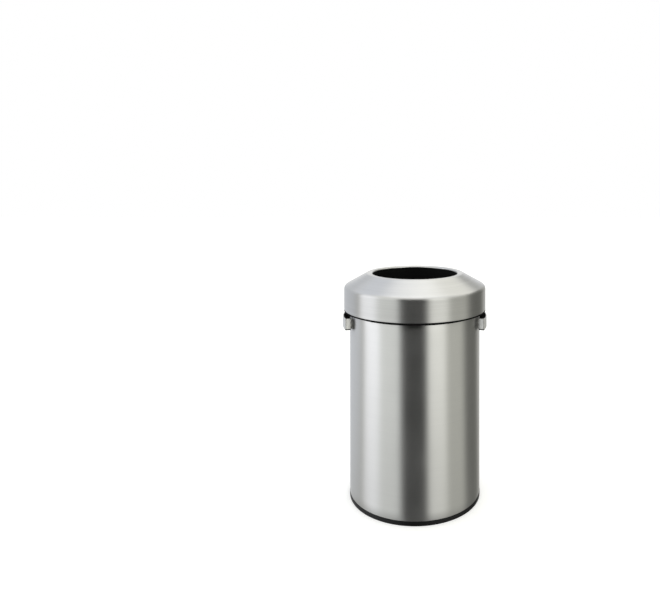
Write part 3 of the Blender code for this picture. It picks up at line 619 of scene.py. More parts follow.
class WASTEBIN_OT_stage(bpy.types.Operator):
    """Set up the floor, the studio world and the camera"""

    bl_idname = "waste_bin.stage"
    bl_label = "Stage"

    def execute(self, context):
        scene = context.scene
        scene.view_settings.view_transform = "Standard"
        self.floor(scene.waste_bin_finishes.floor)
        self.world(scene)
        self.camera(scene)
        return {"FINISHED"}

    def floor(self, colour):
        """A plain pale floor. Its glow lifts it to white where no shadow falls, and adds no light.

        Glossy rays pass through it to the world's floor band, as dark as the photograph's steel shows it.
        """
        corners = np.array([(-1, -1, 0), (1, -1, 0), (1, 1, 0), (-1, 1, 0)], float)
        floor = new_mesh("studio_floor", corners * FLOOR_HALF_WIDTH, [(0, 1, 2, 3)], closed=False)
        material, tree, output = blank_material("painted_studio_floor")
        paint = add_node(tree, "ShaderNodeBsdfDiffuse", {"Color": (*colour, 1.0)})
        direct, passed_on = background_rays(tree)
        seen = add_node(tree, "ShaderNodeMath", {0: direct, 1: passed_on}, operation="MAXIMUM")
        lift = add_node(tree, "ShaderNodeMath", {0: seen.outputs[0], 1: FLOOR_GLOW}, operation="MULTIPLY")
        glow = add_node(tree, "ShaderNodeEmission", {"Strength": lift.outputs[0]})
        both = add_node(tree, "ShaderNodeAddShader", {0: paint.outputs[0], 1: glow.outputs[0]})
        tree.links.new(both.outputs[0], output.inputs["Surface"])
        floor.data.materials.append(material)
        floor.visible_glossy = False

    def world(self, scene):
        """Soft boxes, walls and flags by direction, a bright ceiling, and a white backdrop.

        Each layer is a share of the direction: a smooth step of its bearing's cosine, times a smooth step
        of its height. The camera sees the backdrop all round, and the metal sees it behind the bin.
        """
        world = bpy.data.worlds.new("studio")
        scene.world = world
        world.use_nodes = True
        tree = world.node_tree
        tree.nodes.clear()
        direction = add_node(tree, "ShaderNodeTexCoord").outputs["Generated"]
        height = add_node(tree, "ShaderNodeSeparateXYZ", {0: direction}).outputs[2]
        drop = add_node(tree, "ShaderNodeMath", {0: height, 1: LIGHT_LEAN_BELOW}, operation="SUBTRACT")
        drop = add_node(tree, "ShaderNodeMath", {0: drop.outputs[0], 1: 0.0}, operation="MINIMUM")
        turn = add_node(tree, "ShaderNodeMath", {0: drop.outputs[0], 1: LIGHT_LEAN}, operation="MULTIPLY")
        turned = add_node(
            tree,
            "ShaderNodeVectorRotate",
            {"Vector": direction, "Angle": turn.outputs[0]},
            rotation_type="Z_AXIS",
        )
        level = {0: turned.outputs[0], 1: (1, 1, 0)}
        flat = add_node(tree, "ShaderNodeVectorMath", level, operation="MULTIPLY").outputs[0]
        bearing = add_node(tree, "ShaderNodeVectorMath", {0: flat}, operation="NORMALIZE").outputs[0]

        def rising(value, gone, full):
            """A soft share: 0 where the value is at gone, 1 where it is at full."""
            ends = {0: value, 1: gone, 2: full}
            return add_node(tree, "ShaderNodeMapRange", ends, interpolation_type="SMOOTHSTEP").outputs[0]

        def over(seen, share, strength, hex_colour):
            """Lays a colour over what is seen so far, by a share."""
            colour = (*(strength * channel for channel in linear(hex_colour)), 1.0)
            layers = {0: share, 6: seen, 7: colour}
            return add_node(tree, "ShaderNodeMix", layers, data_type="RGBA", clamp_result=False).outputs[2]

        def facing(degrees, half_width, soft, heights):
            """The share of a box: by its side of the room, and by its heights where it has them."""
            side = math.radians(degrees)
            ahead = {0: bearing, 1: (math.sin(side), -math.cos(side), 0)}
            towards = add_node(tree, "ShaderNodeVectorMath", ahead, operation="DOT_PRODUCT").outputs["Value"]
            edge = math.cos(math.radians(half_width + soft))
            core = math.cos(math.radians(half_width))
            share = rising(towards, edge, core)
            if heights:
                both = {0: share, 1: rising(height, *heights)}
                share = add_node(tree, "ShaderNodeMath", both, operation="MULTIPLY").outputs[0]
            return share

        def hung(seen, boxes):
            """Hangs boxes over what is seen so far, in their order."""
            for _, degrees, half_width, soft, strength, hex_colour, heights in boxes:
                seen = over(seen, facing(degrees, half_width, soft, heights), strength, hex_colour)
            return seen

        def banded(seen, heights, strength, hex_colour):
            """Lays a band of height over what is seen so far."""
            return over(seen, rising(height, *heights), strength, hex_colour)

        seen = hung(WALL, STUDIO)
        seen = banded(seen, *FLOOR_BAND)
        seen = banded(seen, *CEILING_BAND)
        seen = hung(seen, CEILING)
        seen = banded(seen, *TOP_LIGHT_BAND)
        studio = add_node(tree, "ShaderNodeBackground", {"Color": seen, "Strength": 1.0})
        white = add_node(tree, "ShaderNodeBackground", {"Color": (1, 1, 1, 1), "Strength": 1.0})
        direct, passed_on = background_rays(tree)
        behind = facing(*BACKDROP)
        mirrored = add_node(tree, "ShaderNodeMath", {0: passed_on, 1: behind}, operation="MULTIPLY")
        share = add_node(tree, "ShaderNodeMath", {0: direct, 1: mirrored.outputs[0]}, operation="MAXIMUM")
        views = {0: share.outputs[0], 1: studio.outputs[0], 2: white.outputs[0]}
        mixed = add_node(tree, "ShaderNodeMixShader", views)
        output = add_node(tree, "ShaderNodeOutputWorld", {"Surface": mixed.outputs[0]})
        output.is_active_output = True

    def camera(self, scene):
        """The photograph's view: a nearly level camera with a shifted lens.

        The sensor's height sets the angle of view. Its width doesn't show in the picture: it sets how far
        a turned view stands back, and leaves room there for the shift and for the lifted pieces.
        """
        lens = bpy.data.cameras.new("photo_camera")
        lens.sensor_fit = "VERTICAL"
        lens.sensor_height = SENSOR_HEIGHT
        lens.sensor_width = SENSOR_WIDTH
        lens.lens = FOCAL_PIXELS / PHOTO_HEIGHT * SENSOR_HEIGHT
        lens.shift_x = -BIN_RIGHT_OF_CENTRE / PHOTO_HEIGHT
        lens.shift_y = -VIEW_ABOVE_CENTRE / PHOTO_HEIGHT
        camera = bpy.data.objects.new("photo_camera", lens)
        camera.location = CAMERA_PLACE
        camera.rotation_euler = (math.pi / 2 - CAMERA_TILT, 0, 0)
        scene.collection.objects.link(camera)
        scene.camera = camera


class WASTEBIN_OT_body_shell(bpy.types.Operator):
    """Build the rolled steel body with its ground weld seam"""

    bl_idname = "waste_bin.body_shell"
    bl_label = "Body Shell"

    def execute(self, context):
        sizes = context.scene.waste_bin_sizes
        radius, foot, top = SHELL_HIGH.x, SHELL_LOW.z, SHELL_HIGH.z
        heights = np.linspace(foot, top, 25)
        path = np.stack([np.full_like(heights, radius), heights], 1)
        shell = spun("body_shell_brushed", sheet_outline(path, sizes.sheet), sizes.segments)
        dress(shell, BODY, finish("brushed_stainless_body"), ["body_shell"])
        self.seam(radius, foot, top)
        return {"FINISHED"}

    def seam(self, radius, foot, top):
        """The weld at the back, ground almost flush: a low cosine ridge, closed behind inside the sheet."""
        half_width = 1.6 * MM
        proud = 0.12 * MM
        sunk = 0.25 * MM
        across = np.linspace(-1, 1, 13)
        ridge = radius - sunk / 4 + (proud + sunk / 4) * (1 + np.cos(math.pi * across)) / 2
        ring_x = np.concatenate([across, across[::-1]]) * half_width
        ring_y = np.concatenate([ridge, np.full_like(ridge, radius - sunk)])
        heights = np.linspace(foot + HOLD, top - 4 * HOLD, 60)[:, None]
        points = np.stack(np.broadcast_arrays(ring_x, ring_y, heights), -1)
        seam = new_mesh("body_weld_seam", points, tube_faces(len(heights), len(ring_x)))
        dress(seam, BODY, finish("drawn_rivet_steel"))


class WASTEBIN_OT_base(bpy.types.Operator):
    """Build the base ring, the floor pan and the screws"""

    bl_idname = "waste_bin.base"
    bl_label = "Base"

    def execute(self, context):
        sizes = context.scene.waste_bin_sizes
        self.ring(sizes)
        self.pan(sizes)
        self.screws()
        return {"FINISHED"}

    def ring(self, sizes):
        """An upside-down channel with a foot band outside and ribs inside."""
        outer, height = RING_HIGH.x, RING_HIGH.z
        plug = SHELL_HIGH.x - sizes.sheet - SEAT_GAP
        band = SHELL_LOW.z - SEAT_GAP
        inner = outer - sizes.band_width
        web = height - sizes.band_wall
        soft = 0.5 * MM
        outline = rounded(
            [
                (inner, 0, soft),
                (inner + sizes.band_wall, 0, soft),
                (inner + sizes.band_wall, web, soft),
                (plug - sizes.band_wall, web, soft),
                (plug - sizes.band_wall, band - sizes.band_wall, soft),
                (outer - sizes.band_wall, 0, soft),
                (outer, 0, sizes.band_round),
                (outer, band, soft),
                (plug, band, 0),
                (plug, height, soft),
                (inner, height, soft),
            ],
            closed=True,
        )
        ring = spun("base_ring_moulded", outline, sizes.segments)
        dress(ring, BODY, finish("moulded_black_abs"), ["base_ring"])
        rib_start = inner + sizes.band_wall - RIB_ROOT
        rib_end = plug - sizes.band_wall + RIB_ROOT
        rib_foot = 1.5 * MM
        plates = ribs("base_ring_ribs", 24, rib_start, rib_end, rib_foot, web + RIB_ROOT)
        dress(plates, BODY, finish("moulded_black_abs"))

    def pan(self, sizes):
        """The pressed floor: raised middle, flat seat, upturned rim."""
        seat, rim = PAN_LOW.z, PAN_HIGH.z
        raised = seat + sizes.pan_step_height
        edge = sizes.pan_step_radius
        path = rounded(
            [
                (0, raised, 0),
                (edge, raised, sizes.pan_bend),
                (edge + sizes.pan_step_run, seat, sizes.pan_bend),
                (PAN_HIGH.x, seat, sizes.pan_bend),
                (PAN_HIGH.x, rim, 0),
            ]
        )
        pan = spun("floor_pan_pressed", sheet_outline(path, sizes.sheet), sizes.segments)
        dress(pan, BODY, finish("cold_rolled_steel"), ["floor_pan"])

    def screws(self):
        """Pan-head screws with a cross recess, at the places of the CAD screws."""
        for number in range(1, 5):
            node = f"base_screw_{number}"
            low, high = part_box(node)
            centre = ((low.x + high.x) / 2, (low.y + high.y) / 2)
            screw = self.screw(f"{node}_cross_head", centre, low.z, high.z)
            dress(screw, BODY, finish("zinc_plated_steel"), [node])

    def screw(self, name, centre, bottom, top):
        """A spun screw, its head a cubic dome that sinks in a cross with sloping flanks."""
        head_radius, head_height, head_edge, edge_bend = 3.35 * MM, 2.2 * MM, 0.4 * MM, 0.2 * MM
        shank_radius, tip_radius = 2 * MM, 0.7 * MM
        slot_half_width, slot_flank = 0.45 * MM, 0.15 * MM
        slot_reach, slot_end, slot_depth = 2 * MM, 0.3 * MM, 1.1 * MM
        dome_share = 0.45
        facets = 48
        seat = bottom + head_height
        head = np.linspace(0, 1, 14)
        dome = np.stack([head * head_radius, bottom + dome_share * head_height * head**3], 1)
        rest = rounded(
            [
                (head_radius, seat - head_edge, 0),
                (head_radius, seat, edge_bend),
                (shank_radius, seat, 0),
                (shank_radius, top - shank_radius, 0),
                (tip_radius, top, 0),
                (0, top, 0),
            ]
        )
        outline = np.concatenate([dome, rest])
        points = spin_grid(outline, facets)
        across = np.minimum(np.abs(points[..., 0]), np.abs(points[..., 1]))
        reach = np.hypot(points[..., 0], points[..., 1])
        on_head = (np.arange(len(outline)) < len(dome))[:, None]
        within_width = np.clip((slot_half_width - across) / slot_flank, 0, 1)
        within_reach = np.clip((slot_reach - reach) / slot_end, 0, 1)
        points[..., 2] += on_head * within_width * within_reach * slot_depth
        points[..., 0] += centre[0]
        points[..., 1] += centre[1]
        return new_mesh(name, points, grid_faces(len(outline), facets, False, True))


class WASTEBIN_OT_rim_collar(bpy.types.Operator):
    """Build the moulded collar on the body's edge"""

    bl_idname = "waste_bin.rim_collar"
    bl_label = "Rim Collar"

    def execute(self, context):
        sizes = context.scene.waste_bin_sizes
        shell_outer = SHELL_HIGH.x + SEAT_GAP
        shell_inner = SHELL_HIGH.x - sizes.sheet - SEAT_GAP
        top, bottom = COLLAR_HIGH.z, COLLAR_LOW.z
        lip = SHELL_HIGH.z - sizes.collar_lip
        bore = shell_inner - sizes.collar_wall
        ledge = bore - sizes.ledge_width
        ledge_top = top - sizes.collar_seat
        soft = 0.5 * MM
        lip_bend = 0.3 * MM
        cap_bend = 0.8 * MM
        outline = rounded(
            [
                (shell_outer, lip, lip_bend),
                (COLLAR_HIGH.x, lip, soft),
                (COLLAR_HIGH.x, top, cap_bend),
                (bore, top, cap_bend),
                (bore, ledge_top, soft),
                (ledge, ledge_top, soft),
                (ledge, bottom, soft),
                (shell_inner, bottom, soft),
                (shell_inner, SHELL_HIGH.z + SEAT_GAP, 0),
                (shell_outer, SHELL_HIGH.z + SEAT_GAP, 0),
            ],
            closed=True,
        )
        collar = spun("rim_collar_moulded", outline, sizes.segments)
        dress(collar, BODY, finish("moulded_black_abs"), ["rim_collar"])
        return {"FINISHED"}


class WASTEBIN_OT_handles(bpy.types.Operator):
    """Build the strap handles, their rivets and their backing plates"""

    bl_idname = "waste_bin.handles"
    bl_label = "Handles"

    def execute(self, context):
        sizes = context.scene.waste_bin_sizes
        for side, turn in (("right", 0.0), ("left", math.pi)):
            self.strap(sizes, side, turn)
            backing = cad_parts[f"handle_backing_{side}"]
            backing.data.materials.clear()
            backing.data.materials.append(finish("cold_rolled_steel"))
            for number in range(1, 5):
                self.rivet(sizes, f"handle_rivet_{side}_{number}")
        return {"FINISHED"}

    def plan(self, sizes):
        """The strap's outer line seen from above: flange, leg, curved grip, leg, flange.

        Each corner (radius, angle, bend) is put at (r cos a, r sin a) before the bends are rounded.
        """
        seat = SHELL_HIGH.x + SEAT_GAP
        reach = STRAP_HIGH.x
        half = sizes.strap_half_angle
        flange = sizes.strap_flange / seat
        on_flange = np.linspace(flange, flange / 4, 6)
        on_grip = np.linspace(-half, half, 33)[5:-5]
        corners = [(seat, angle - half, 0) for angle in on_flange]
        corners += [(seat, -half, sizes.strap_root_bend), (reach, -half, sizes.strap_corner_bend)]
        corners += [(reach, angle, 0) for angle in on_grip]
        corners += [(reach, half, sizes.strap_corner_bend), (seat, half, sizes.strap_root_bend)]
        corners += [(seat, half - angle, 0) for angle in reversed(on_flange)]
        radius, angle, bend = np.array(corners).T
        return rounded(np.stack([radius * np.cos(angle), radius * np.sin(angle), bend], 1))

    def strap(self, sizes, side, turn):
        """The steel strap, and inside it the black lining whose lower edge shows under the steel. The lining
        is partly a real grip and partly painted shade: it darkens the hollow between strap and body under
        the lid, and draws a dark line under the strap's lower edge.
        """
        path = self.plan(sizes)
        low, high = STRAP_LOW.z, STRAP_HIGH.z
        sheet, edge = sizes.strap_sheet, sizes.strap_edge
        strap = self.sweep(f"handle_strap_{side}", path, sheet, low, high, edge, turn)
        dress(strap, BODY, finish("brushed_stainless_strap"), [f"handle_{side}"])
        inside = path + left_normals(path) * sheet
        off_body = np.hypot(path[:, 0], path[:, 1]) > SHELL_HIGH.x + SEAT_GAP + sizes.strap_root_bend
        lining = self.sweep(
            f"handle_shade_lining_{side}",
            inside[off_body],
            sizes.lining_sheet,
            low - sizes.shade_lining_drop,
            high - edge,
            sizes.lining_sheet / 3,
            turn,
        )
        # Painted shade in part: the black lining darkens the strap's hollow and its lower edge.
        dress(lining, BODY, finish("moulded_black_abs"))

    def sweep(self, name, path, sheet, low, high, edge, turn):
        """A rounded bar section carried along a plan, on its left, with its ends drawn in to a soft edge."""
        normals = left_normals(path)
        corners = [(0, low, edge), (0, high, edge), (sheet, high, edge), (sheet, low, edge)]
        section = rounded(corners, closed=True)
        points = np.empty((len(path), len(section), 3))
        points[..., 0] = path[:, :1] + normals[:, :1] * section[:, 0]
        points[..., 1] = path[:, 1:] + normals[:, 1:] * section[:, 0]
        points[..., 2] = section[:, 1]
        first = self.drawn_in(points, 0, 1, edge)
        last = self.drawn_in(points, -1, -2, edge)
        points = np.concatenate([first, points, last[::-1]])
        cosine, sine = math.cos(turn), math.sin(turn)
        across = points[..., 0] * cosine - points[..., 1] * sine
        points[..., 1] = points[..., 0] * sine + points[..., 1] * cosine
        points[..., 0] = across
        strip = new_mesh(name, points, tube_faces(len(points), len(section)))
        self.lay_out(strip, points)
        return strip

    def drawn_in(self, points, end, inner, edge):
        """Rounds one end of the sweep: moves its ring in, and returns the smaller rings beyond it."""
        outward = unit((points[end] - points[inner]).mean(0))
        middle = points[end].mean(0)
        offset = points[end] - middle
        half_sheet = np.hypot(offset[:, 0], offset[:, 1]).max()
        half_size = np.array([half_sheet, half_sheet, offset[:, 2].max()])
        turn = np.linspace(0, math.pi / 2, 5)[:-1, None, None]
        shrink = 1 - edge * (1 - np.sin(turn)) / half_size
        rings = middle + offset * shrink - outward * edge * (1 - np.cos(turn))
        points[end] -= outward * edge
        return rings

    def lay_out(self, strip, points):
        """A UV map in metres: U runs along the strip and V up it, so its brushing follows the bends."""
        middle = points.mean(1)
        steps = np.linalg.norm(np.diff(middle, axis=0), axis=1)
        along = np.concatenate([[0], np.cumsum(steps)])[:, None] + 0 * points[..., 2]
        places = np.stack([along, points[..., 2]], -1).reshape(-1, 2)
        mesh = strip.data
        corner_points = np.empty(len(mesh.loops), int)
        mesh.loops.foreach_get("vertex_index", corner_points)
        layer = mesh.uv_layers.new(name="along_strap")
        layer.uv.foreach_set("vector", places[corner_points].ravel())

    def rivet(self, sizes, node):
        """A blind rivet on the axis of its CAD node: domed head, hollow where its pin broke off."""
        low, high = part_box(node)
        angle = math.atan2(low.y + high.y, low.x + high.x)
        height = (low.z + high.z) / 2
        head, shank, tail, tail_tip = 4 * MM, 2 * MM, 3 * MM, 1.65 * MM
        hole, hole_root, hole_depth, hole_rim = 1.1 * MM, 0.99 * MM, 0.9 * MM, 0.1 * MM
        rise, edge = 1.6 * MM, 0.35 * MM
        tail_flare, tail_side, tail_length = 0.3 * MM, 1.4 * MM, 2.3 * MM
        backing = 1.5 * MM
        facets = 32
        head_face = SHELL_HIGH.x + 2 * SEAT_GAP + sizes.strap_sheet
        back = SHELL_HIGH.x - sizes.sheet - backing - 4 * SEAT_GAP - head_face
        hole_floor = rise - hole_depth
        bend = np.linspace(0, math.pi / 2, 10)
        dome = np.stack([hole + (head - hole) * np.sin(bend), edge + (rise - edge) * np.cos(bend)], 1)
        outline = np.concatenate(
            [
                [(0, hole_floor), (hole_root, hole_floor), (hole, rise - hole_rim)],
                dome,
                [(head, 0), (shank, 0), (shank, back), (tail, back - tail_flare)],
                [(tail, back - tail_side), (tail_tip, back - tail_length), (0, back - tail_length)],
            ]
        )
        local = spin_grid(outline, facets)
        points = np.empty_like(local)
        out = head_face + local[..., 2]
        points[..., 0] = out * math.cos(angle) - local[..., 1] * math.sin(angle)
        points[..., 1] = out * math.sin(angle) + local[..., 1] * math.cos(angle)
        points[..., 2] = height - local[..., 0]
        rivet = new_mesh(f"{node}_domed", points, grid_faces(len(outline), facets, False, True))
        dress(rivet, BODY, finish("drawn_rivet_steel"), [node])


class WASTEBIN_OT_bucket(bpy.types.Operator):
    """Build the inner bucket with its hand grips"""

    bl_idname = "waste_bin.bucket"
    bl_label = "Inner Bucket"

    def execute(self, context):
        sizes = context.scene.waste_bin_sizes
        self.tub(sizes)
        self.band(sizes)
        self.plug(sizes)
        return {"FINISHED"}

    def tub(self, sizes):
        """Raised floor, tapered wall, and a step under the straight edge that the band sits on."""
        step_in, step_run, step_bend = 2.5 * MM, 6 * MM, 3 * MM
        taper, foot_width, foot_bend = 12 * MM, 26 * MM, 10 * MM
        kick, kick_bend = 5 * MM, 4 * MM
        top_radius, bottom, joint = TUB_HIGH.x, TUB_LOW.z, TUB_HIGH.z
        step_radius = top_radius - step_in
        bottom_radius = step_radius - taper
        foot_inner = bottom_radius - foot_width
        step = joint - sizes.bucket_edge
        path = rounded(
            [
                (0, bottom + kick, 0),
                (foot_inner - kick, bottom + kick, kick_bend),
                (foot_inner, bottom, kick_bend),
                (bottom_radius, bottom, foot_bend),
                (step_radius, step - step_run, step_bend),
                (top_radius, step, step_bend),
                (top_radius, joint, 0),
            ]
        )
        faces = grid_faces(len(path), sizes.segments, False, True)
        tub = new_mesh("inner_bucket_tub", spin_grid(path, sizes.segments), faces, closed=False)
        self.thicken(tub, sizes.bucket_wall)
        dress(tub, BUCKET, finish("moulded_black_polypropylene"), ["inner_bucket"])

    def band(self, sizes):
        """The upright wall with its two grips and the flat rim."""
        grip_half_width, grip_height, grip_below_rim = 52 * MM, 28 * MM, 14 * MM
        corner_height, rim_bend = 3 * MM, 1.5 * MM
        segments = 288
        wall = sizes.bucket_wall
        top_radius, seat = TUB_HIGH.x, TUB_HIGH.z + SEAT_GAP
        rim = BAND_HIGH.z - wall
        corner_foot = rim - corner_height
        grip_top = rim - grip_below_rim
        grip_bottom = grip_top - grip_height
        heights = np.concatenate(
            [
                np.linspace(seat, grip_bottom, 6),
                np.linspace(grip_bottom, grip_top, 15)[1:],
                np.linspace(grip_top, corner_foot, 8)[1:],
            ]
        )
        upright = np.stack([np.full_like(heights, top_radius), heights], 1)
        corner = rounded([(top_radius, corner_foot, 0), (top_radius, rim, rim_bend), (BAND_HIGH.x, rim, 0)])
        path = np.concatenate([upright, corner[1:]])
        points = spin_grid(path, segments)
        faces = grid_faces(len(path), segments, False, True)
        middle = grip_bottom + grip_height / 2
        kept = np.ones(len(faces), bool)
        for facing in (-1, 1):
            kept &= self.cut(points, faces, facing, top_radius, grip_half_width, middle, grip_height / 2)
        band = new_mesh("bucket_band_moulded", points, faces[kept], closed=False)
        self.thicken(band, wall)
        dress(band, BUCKET, finish("moulded_black_polypropylene"), ["bucket_band"])

    def plug(self, sizes):
        """The band's lower ring, which reaches down inside the tub's edge."""
        foot_bend, inner_bend, slope, over_tub = 0.5 * MM, 0.8 * MM, 5 * MM, 0.2 * MM
        wall = sizes.bucket_wall
        bore, seat = TUB_HIGH.x - wall, TUB_HIGH.z + SEAT_GAP
        outer = bore - SEAT_GAP
        root = bore + wall / 4
        outline = rounded(
            [
                (outer - wall, BAND_LOW.z, foot_bend),
                (outer, BAND_LOW.z, foot_bend),
                (outer, seat + over_tub, 0),
                (root, seat + over_tub, 0),
                (root, seat + slope, 0),
                (bore, seat + slope, 0),
                (outer - wall, seat, inner_bend),
            ],
            closed=True,
        )
        plug = spun("bucket_band_plug", outline, sizes.segments)
        dress(plug, BUCKET, finish("moulded_black_polypropylene"))

    def thicken(self, obj, wall):
        """Gives an outer surface its wall on the inside, and soft edges."""
        thick = obj.modifiers.new("wall", "SOLIDIFY")
        thick.thickness = wall
        thick.offset = -1
        thick.use_even_offset = True
        soft = obj.modifiers.new("soft_edges", "BEVEL")
        soft.width = 0.6 * MM
        soft.segments = 2
        soft.limit_method = "ANGLE"
        soft.angle_limit = math.radians(50)

    def cut(self, points, faces, facing, radius, half_width, middle, half_height):
        """Opens a hand grip on the side that faces -Y or +Y.

        The faces inside a rectangle of angle and height go. Across and up are a point's shares of the
        rectangle's half width and half height, and ring is the larger of the two, so it is 1 on the edge.
        Each point is carried out to the edge, its way from there onto a corner's arc is found, and the
        point goes that way too, by a share that fades from 1 on the edge to 0 well outside it.
        """
        corner = 5 * MM
        fade_end = 1.9
        tiny = 1e-9
        half_angle = math.asin(half_width / radius)
        column_step = 2 * math.pi / points.shape[1]
        columns = round(half_angle / column_step)
        across = np.arctan2(points[..., 0], facing * points[..., 1]) / (columns * column_step)
        up = (points[..., 2] - middle) / half_height
        ring = np.maximum(np.abs(across), np.abs(up))
        to_edge = 1 / np.maximum(ring, tiny)
        edge_x = across * to_edge * half_width
        edge_z = up * to_edge * half_height
        corner_x = np.abs(edge_x) - (half_width - corner)
        corner_z = np.abs(edge_z) - (half_height - corner)
        in_corner = (corner_x > 0) & (corner_z > 0)
        stretch = corner / np.maximum(np.hypot(corner_x, corner_z), tiny) - 1
        shift_x = np.where(in_corner, corner_x * stretch, 0) * np.sign(edge_x)
        shift_z = np.where(in_corner, corner_z * stretch, 0) * np.sign(edge_z)
        fade = np.clip((fade_end - ring) / (fade_end - 1), 0, 1)
        near = fade > 0
        angle = (across + shift_x * fade / half_width) * half_angle
        reach = np.hypot(points[..., 0], points[..., 1])
        points[..., 2] += shift_z * fade
        points[..., 0] = np.where(near, reach * np.sin(angle), points[..., 0])
        points[..., 1] = np.where(near, facing * reach * np.cos(angle), points[..., 1])
        inside = np.abs(across.ravel()[faces].mean(1)) < 1
        inside &= np.abs(up.ravel()[faces].mean(1)) < 1
        return ~inside


class WASTEBIN_OT_bag_ring(bpy.types.Operator):
    """Build the ring that holds the liner bag"""

    bl_idname = "waste_bin.bag_ring"
    bl_label = "Bag Ring"

    def execute(self, context):
        sizes = context.scene.waste_bin_sizes
        slack, bend = 1 * MM, 1.2 * MM
        skirt = TUB_HIGH.x - sizes.bucket_wall - slack
        seat = BAG_HIGH.z - sizes.bag_ring_wall
        path = rounded([(skirt, BAG_LOW.z, 0), (skirt, seat, bend), (BAG_HIGH.x, seat, 0)])
        ring = spun("bag_ring_moulded", sheet_outline(path, sizes.bag_ring_wall), sizes.segments)
        dress(ring, BAG_RING, finish("moulded_black_abs"), ["bag_ring"])
        return {"FINISHED"}


class WASTEBIN_OT_lid_shell(bpy.types.Operator):
    """Build the spun steel lid"""

    bl_idname = "waste_bin.lid_shell"
    bl_label = "Lid Shell"

    def execute(self, context):
        sizes = context.scene.waste_bin_sizes
        radius, foot, crest = LID_HIGH.x, LID_LOW.z, LID_HIGH.z
        mouth = THROAT_HIGH.x - sizes.throat_flange - SEAT_GAP - sizes.sheet
        path = rounded(
            [
                (radius - sizes.hem_width, foot, 0),
                (radius, foot, sizes.hem_bend),
                (radius, foot + sizes.skirt_height, sizes.shoulder_bend),
                (mouth + sizes.crest_width, crest, sizes.crest_bend),
                (mouth, crest, sizes.lip_bend),
                (mouth, crest - sizes.lip_depth, 0),
            ]
        )
        lid = spun("lid_shell_brushed", sheet_outline(path, sizes.sheet), sizes.segments)
        dress(lid, LID, finish("brushed_stainless_lid"), ["lid_shell"])
        return {"FINISHED"}


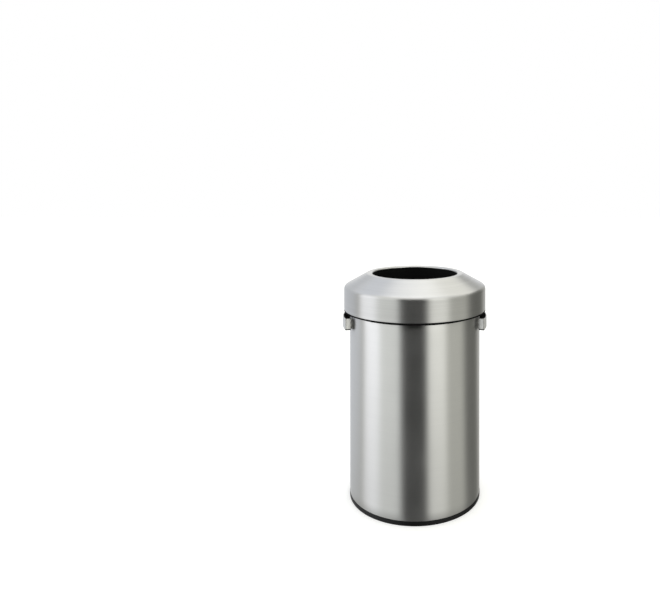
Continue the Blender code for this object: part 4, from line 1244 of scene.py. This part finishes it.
class WASTEBIN_OT_lid_inside(bpy.types.Operator):
    """Build the lid's moulded frame, the edging under its hem and the throat"""

    bl_idname = "waste_bin.lid_inside"
    bl_label = "Lid Inside"

    def execute(self, context):
        sizes = context.scene.waste_bin_sizes
        self.frame(sizes)
        self.edging(sizes)
        self.throat(sizes)
        return {"FINISHED"}

    def frame(self, sizes):
        """Flange inside the skirt, foot on the collar, plug in the collar's bore, and ribs between."""
        foot_inset, foot_width, plug_slack, soft = 0.8 * MM, 3.6 * MM, 1 * MM, 0.4 * MM
        outer, top, bottom = FRAME_HIGH.x, FRAME_HIGH.z, FRAME_LOW.z
        web = LID_LOW.z + sizes.sheet + SEAT_GAP
        web_top = web + sizes.frame_wall
        foot = COLLAR_HIGH.z + SEAT_GAP
        foot_outer = COLLAR_HIGH.x - foot_inset
        foot_inner = foot_outer - foot_width
        plug = SHELL_HIGH.x - sizes.sheet - SEAT_GAP - sizes.collar_wall - plug_slack
        outline = rounded(
            [
                (plug - sizes.frame_wall, bottom, soft),
                (plug, bottom, soft),
                (plug, web, soft),
                (foot_inner, web, soft),
                (foot_inner, foot, soft),
                (foot_outer, foot, soft),
                (foot_outer, web, soft),
                (outer, web, sizes.hem_bend),
                (outer, top, soft),
                (outer - sizes.frame_wall, top, soft),
                (outer - sizes.frame_wall, web_top, soft),
                (plug - sizes.frame_wall, web_top, soft),
            ],
            closed=True,
        )
        ring = spun("lid_frame_moulded", outline, sizes.segments)
        dress(ring, LID, finish("moulded_black_abs"), ["lid_frame"])
        rib_end = outer - sizes.frame_wall + RIB_ROOT
        rib_top = (web_top + top) / 2
        plates = ribs("lid_frame_ribs", 12, foot_inner, rib_end, web_top - RIB_ROOT, rib_top)
        dress(plates, LID, finish("moulded_black_abs"))

    def edging(self, sizes):
        """The black edging under the hem: a flat band, and a tongue that plugs into the frame. The band is
        partly a real edging and partly painted shade of the shadowed gap under the hem.
        """
        glue, inset, tongue_width = 0.02 * MM, 0.1 * MM, 3 * MM
        inner_bend, outer_bend = 0.6 * MM, 0.4 * MM
        low, seat = LID_LOW.z - sizes.edging_drop, LID_LOW.z - glue
        outer = LID_HIGH.x - inset
        tongue = LID_HIGH.x - sizes.hem_width - SEAT_GAP
        inner = tongue - tongue_width
        top = LID_LOW.z + sizes.sheet + SEAT_GAP + sizes.frame_wall / 4
        outline = rounded(
            [
                (inner, low, inner_bend),
                (outer, low, outer_bend),
                (outer, seat, 0),
                (tongue, seat, 0),
                (tongue, top, 0),
                (inner, top, 0),
            ],
            closed=True,
        )
        edging = spun("lid_edging_painted_gap_shade", outline, sizes.segments)
        dress(edging, LID, finish("black_rubber_painted_gap_shade"))

    def throat(self, sizes):
        """A sleeve under the mouth with a flange under the crest."""
        edge_bend, foot_bend, root_bend = 0.3 * MM, 0.6 * MM, 1 * MM
        lip_bend = sizes.lip_bend - sizes.sheet - SEAT_GAP
        flange, top, bottom = THROAT_HIGH.x, THROAT_HIGH.z, THROAT_LOW.z
        bore = flange - sizes.throat_flange
        wall = sizes.throat_wall
        outline = rounded(
            [
                (flange, top, edge_bend),
                (bore, top, lip_bend),
                (bore, bottom, foot_bend),
                (bore + wall, bottom, foot_bend),
                (bore + wall, top - wall, root_bend),
                (flange, top - wall, edge_bend),
            ],
            closed=True,
        )
        throat = spun("lid_throat_moulded", outline, sizes.segments)
        dress(throat, LID, finish("matt_moulded_black_abs"), ["lid_throat"])


STEPS = (
    WASTEBIN_OT_stage,
    WASTEBIN_OT_body_shell,
    WASTEBIN_OT_base,
    WASTEBIN_OT_rim_collar,
    WASTEBIN_OT_handles,
    WASTEBIN_OT_bucket,
    WASTEBIN_OT_bag_ring,
    WASTEBIN_OT_lid_shell,
    WASTEBIN_OT_lid_inside,
)


class WASTEBIN_PT_panel(bpy.types.Panel):
    """The waste bin's pieces, sizes and finishes"""

    bl_idname = "WASTEBIN_PT_panel"
    bl_label = "Waste Bin"
    bl_space_type = "VIEW_3D"
    bl_region_type = "UI"
    bl_category = "Waste Bin"

    def draw(self, context):
        layout = self.layout
        for group in (context.scene.waste_bin_sizes, context.scene.waste_bin_finishes):
            column = layout.column(align=True)
            for name in group.__annotations__:
                column.prop(group, name)
        for step in STEPS:
            layout.operator(step.bl_idname)


CLASSES = (WasteBinSizes, WasteBinFinishes, *STEPS, WASTEBIN_PT_panel)


def register():
    """Registers the classes, and hangs the sizes and finishes on the scene."""
    for cls in CLASSES:
        bpy.utils.register_class(cls)
    bpy.types.Scene.waste_bin_sizes = PointerProperty(type=WasteBinSizes)
    bpy.types.Scene.waste_bin_finishes = PointerProperty(type=WasteBinFinishes)


def unregister():
    """Takes away what register put in place."""
    del bpy.types.Scene.waste_bin_finishes
    del bpy.types.Scene.waste_bin_sizes
    for cls in reversed(CLASSES):
        bpy.utils.unregister_class(cls)


def main():
    """Builds the stage and every piece."""
    register()
    for step in STEPS:
        getattr(bpy.ops.waste_bin, step.bl_idname.split(".")[1])()


if __name__ == "__main__":
    main()
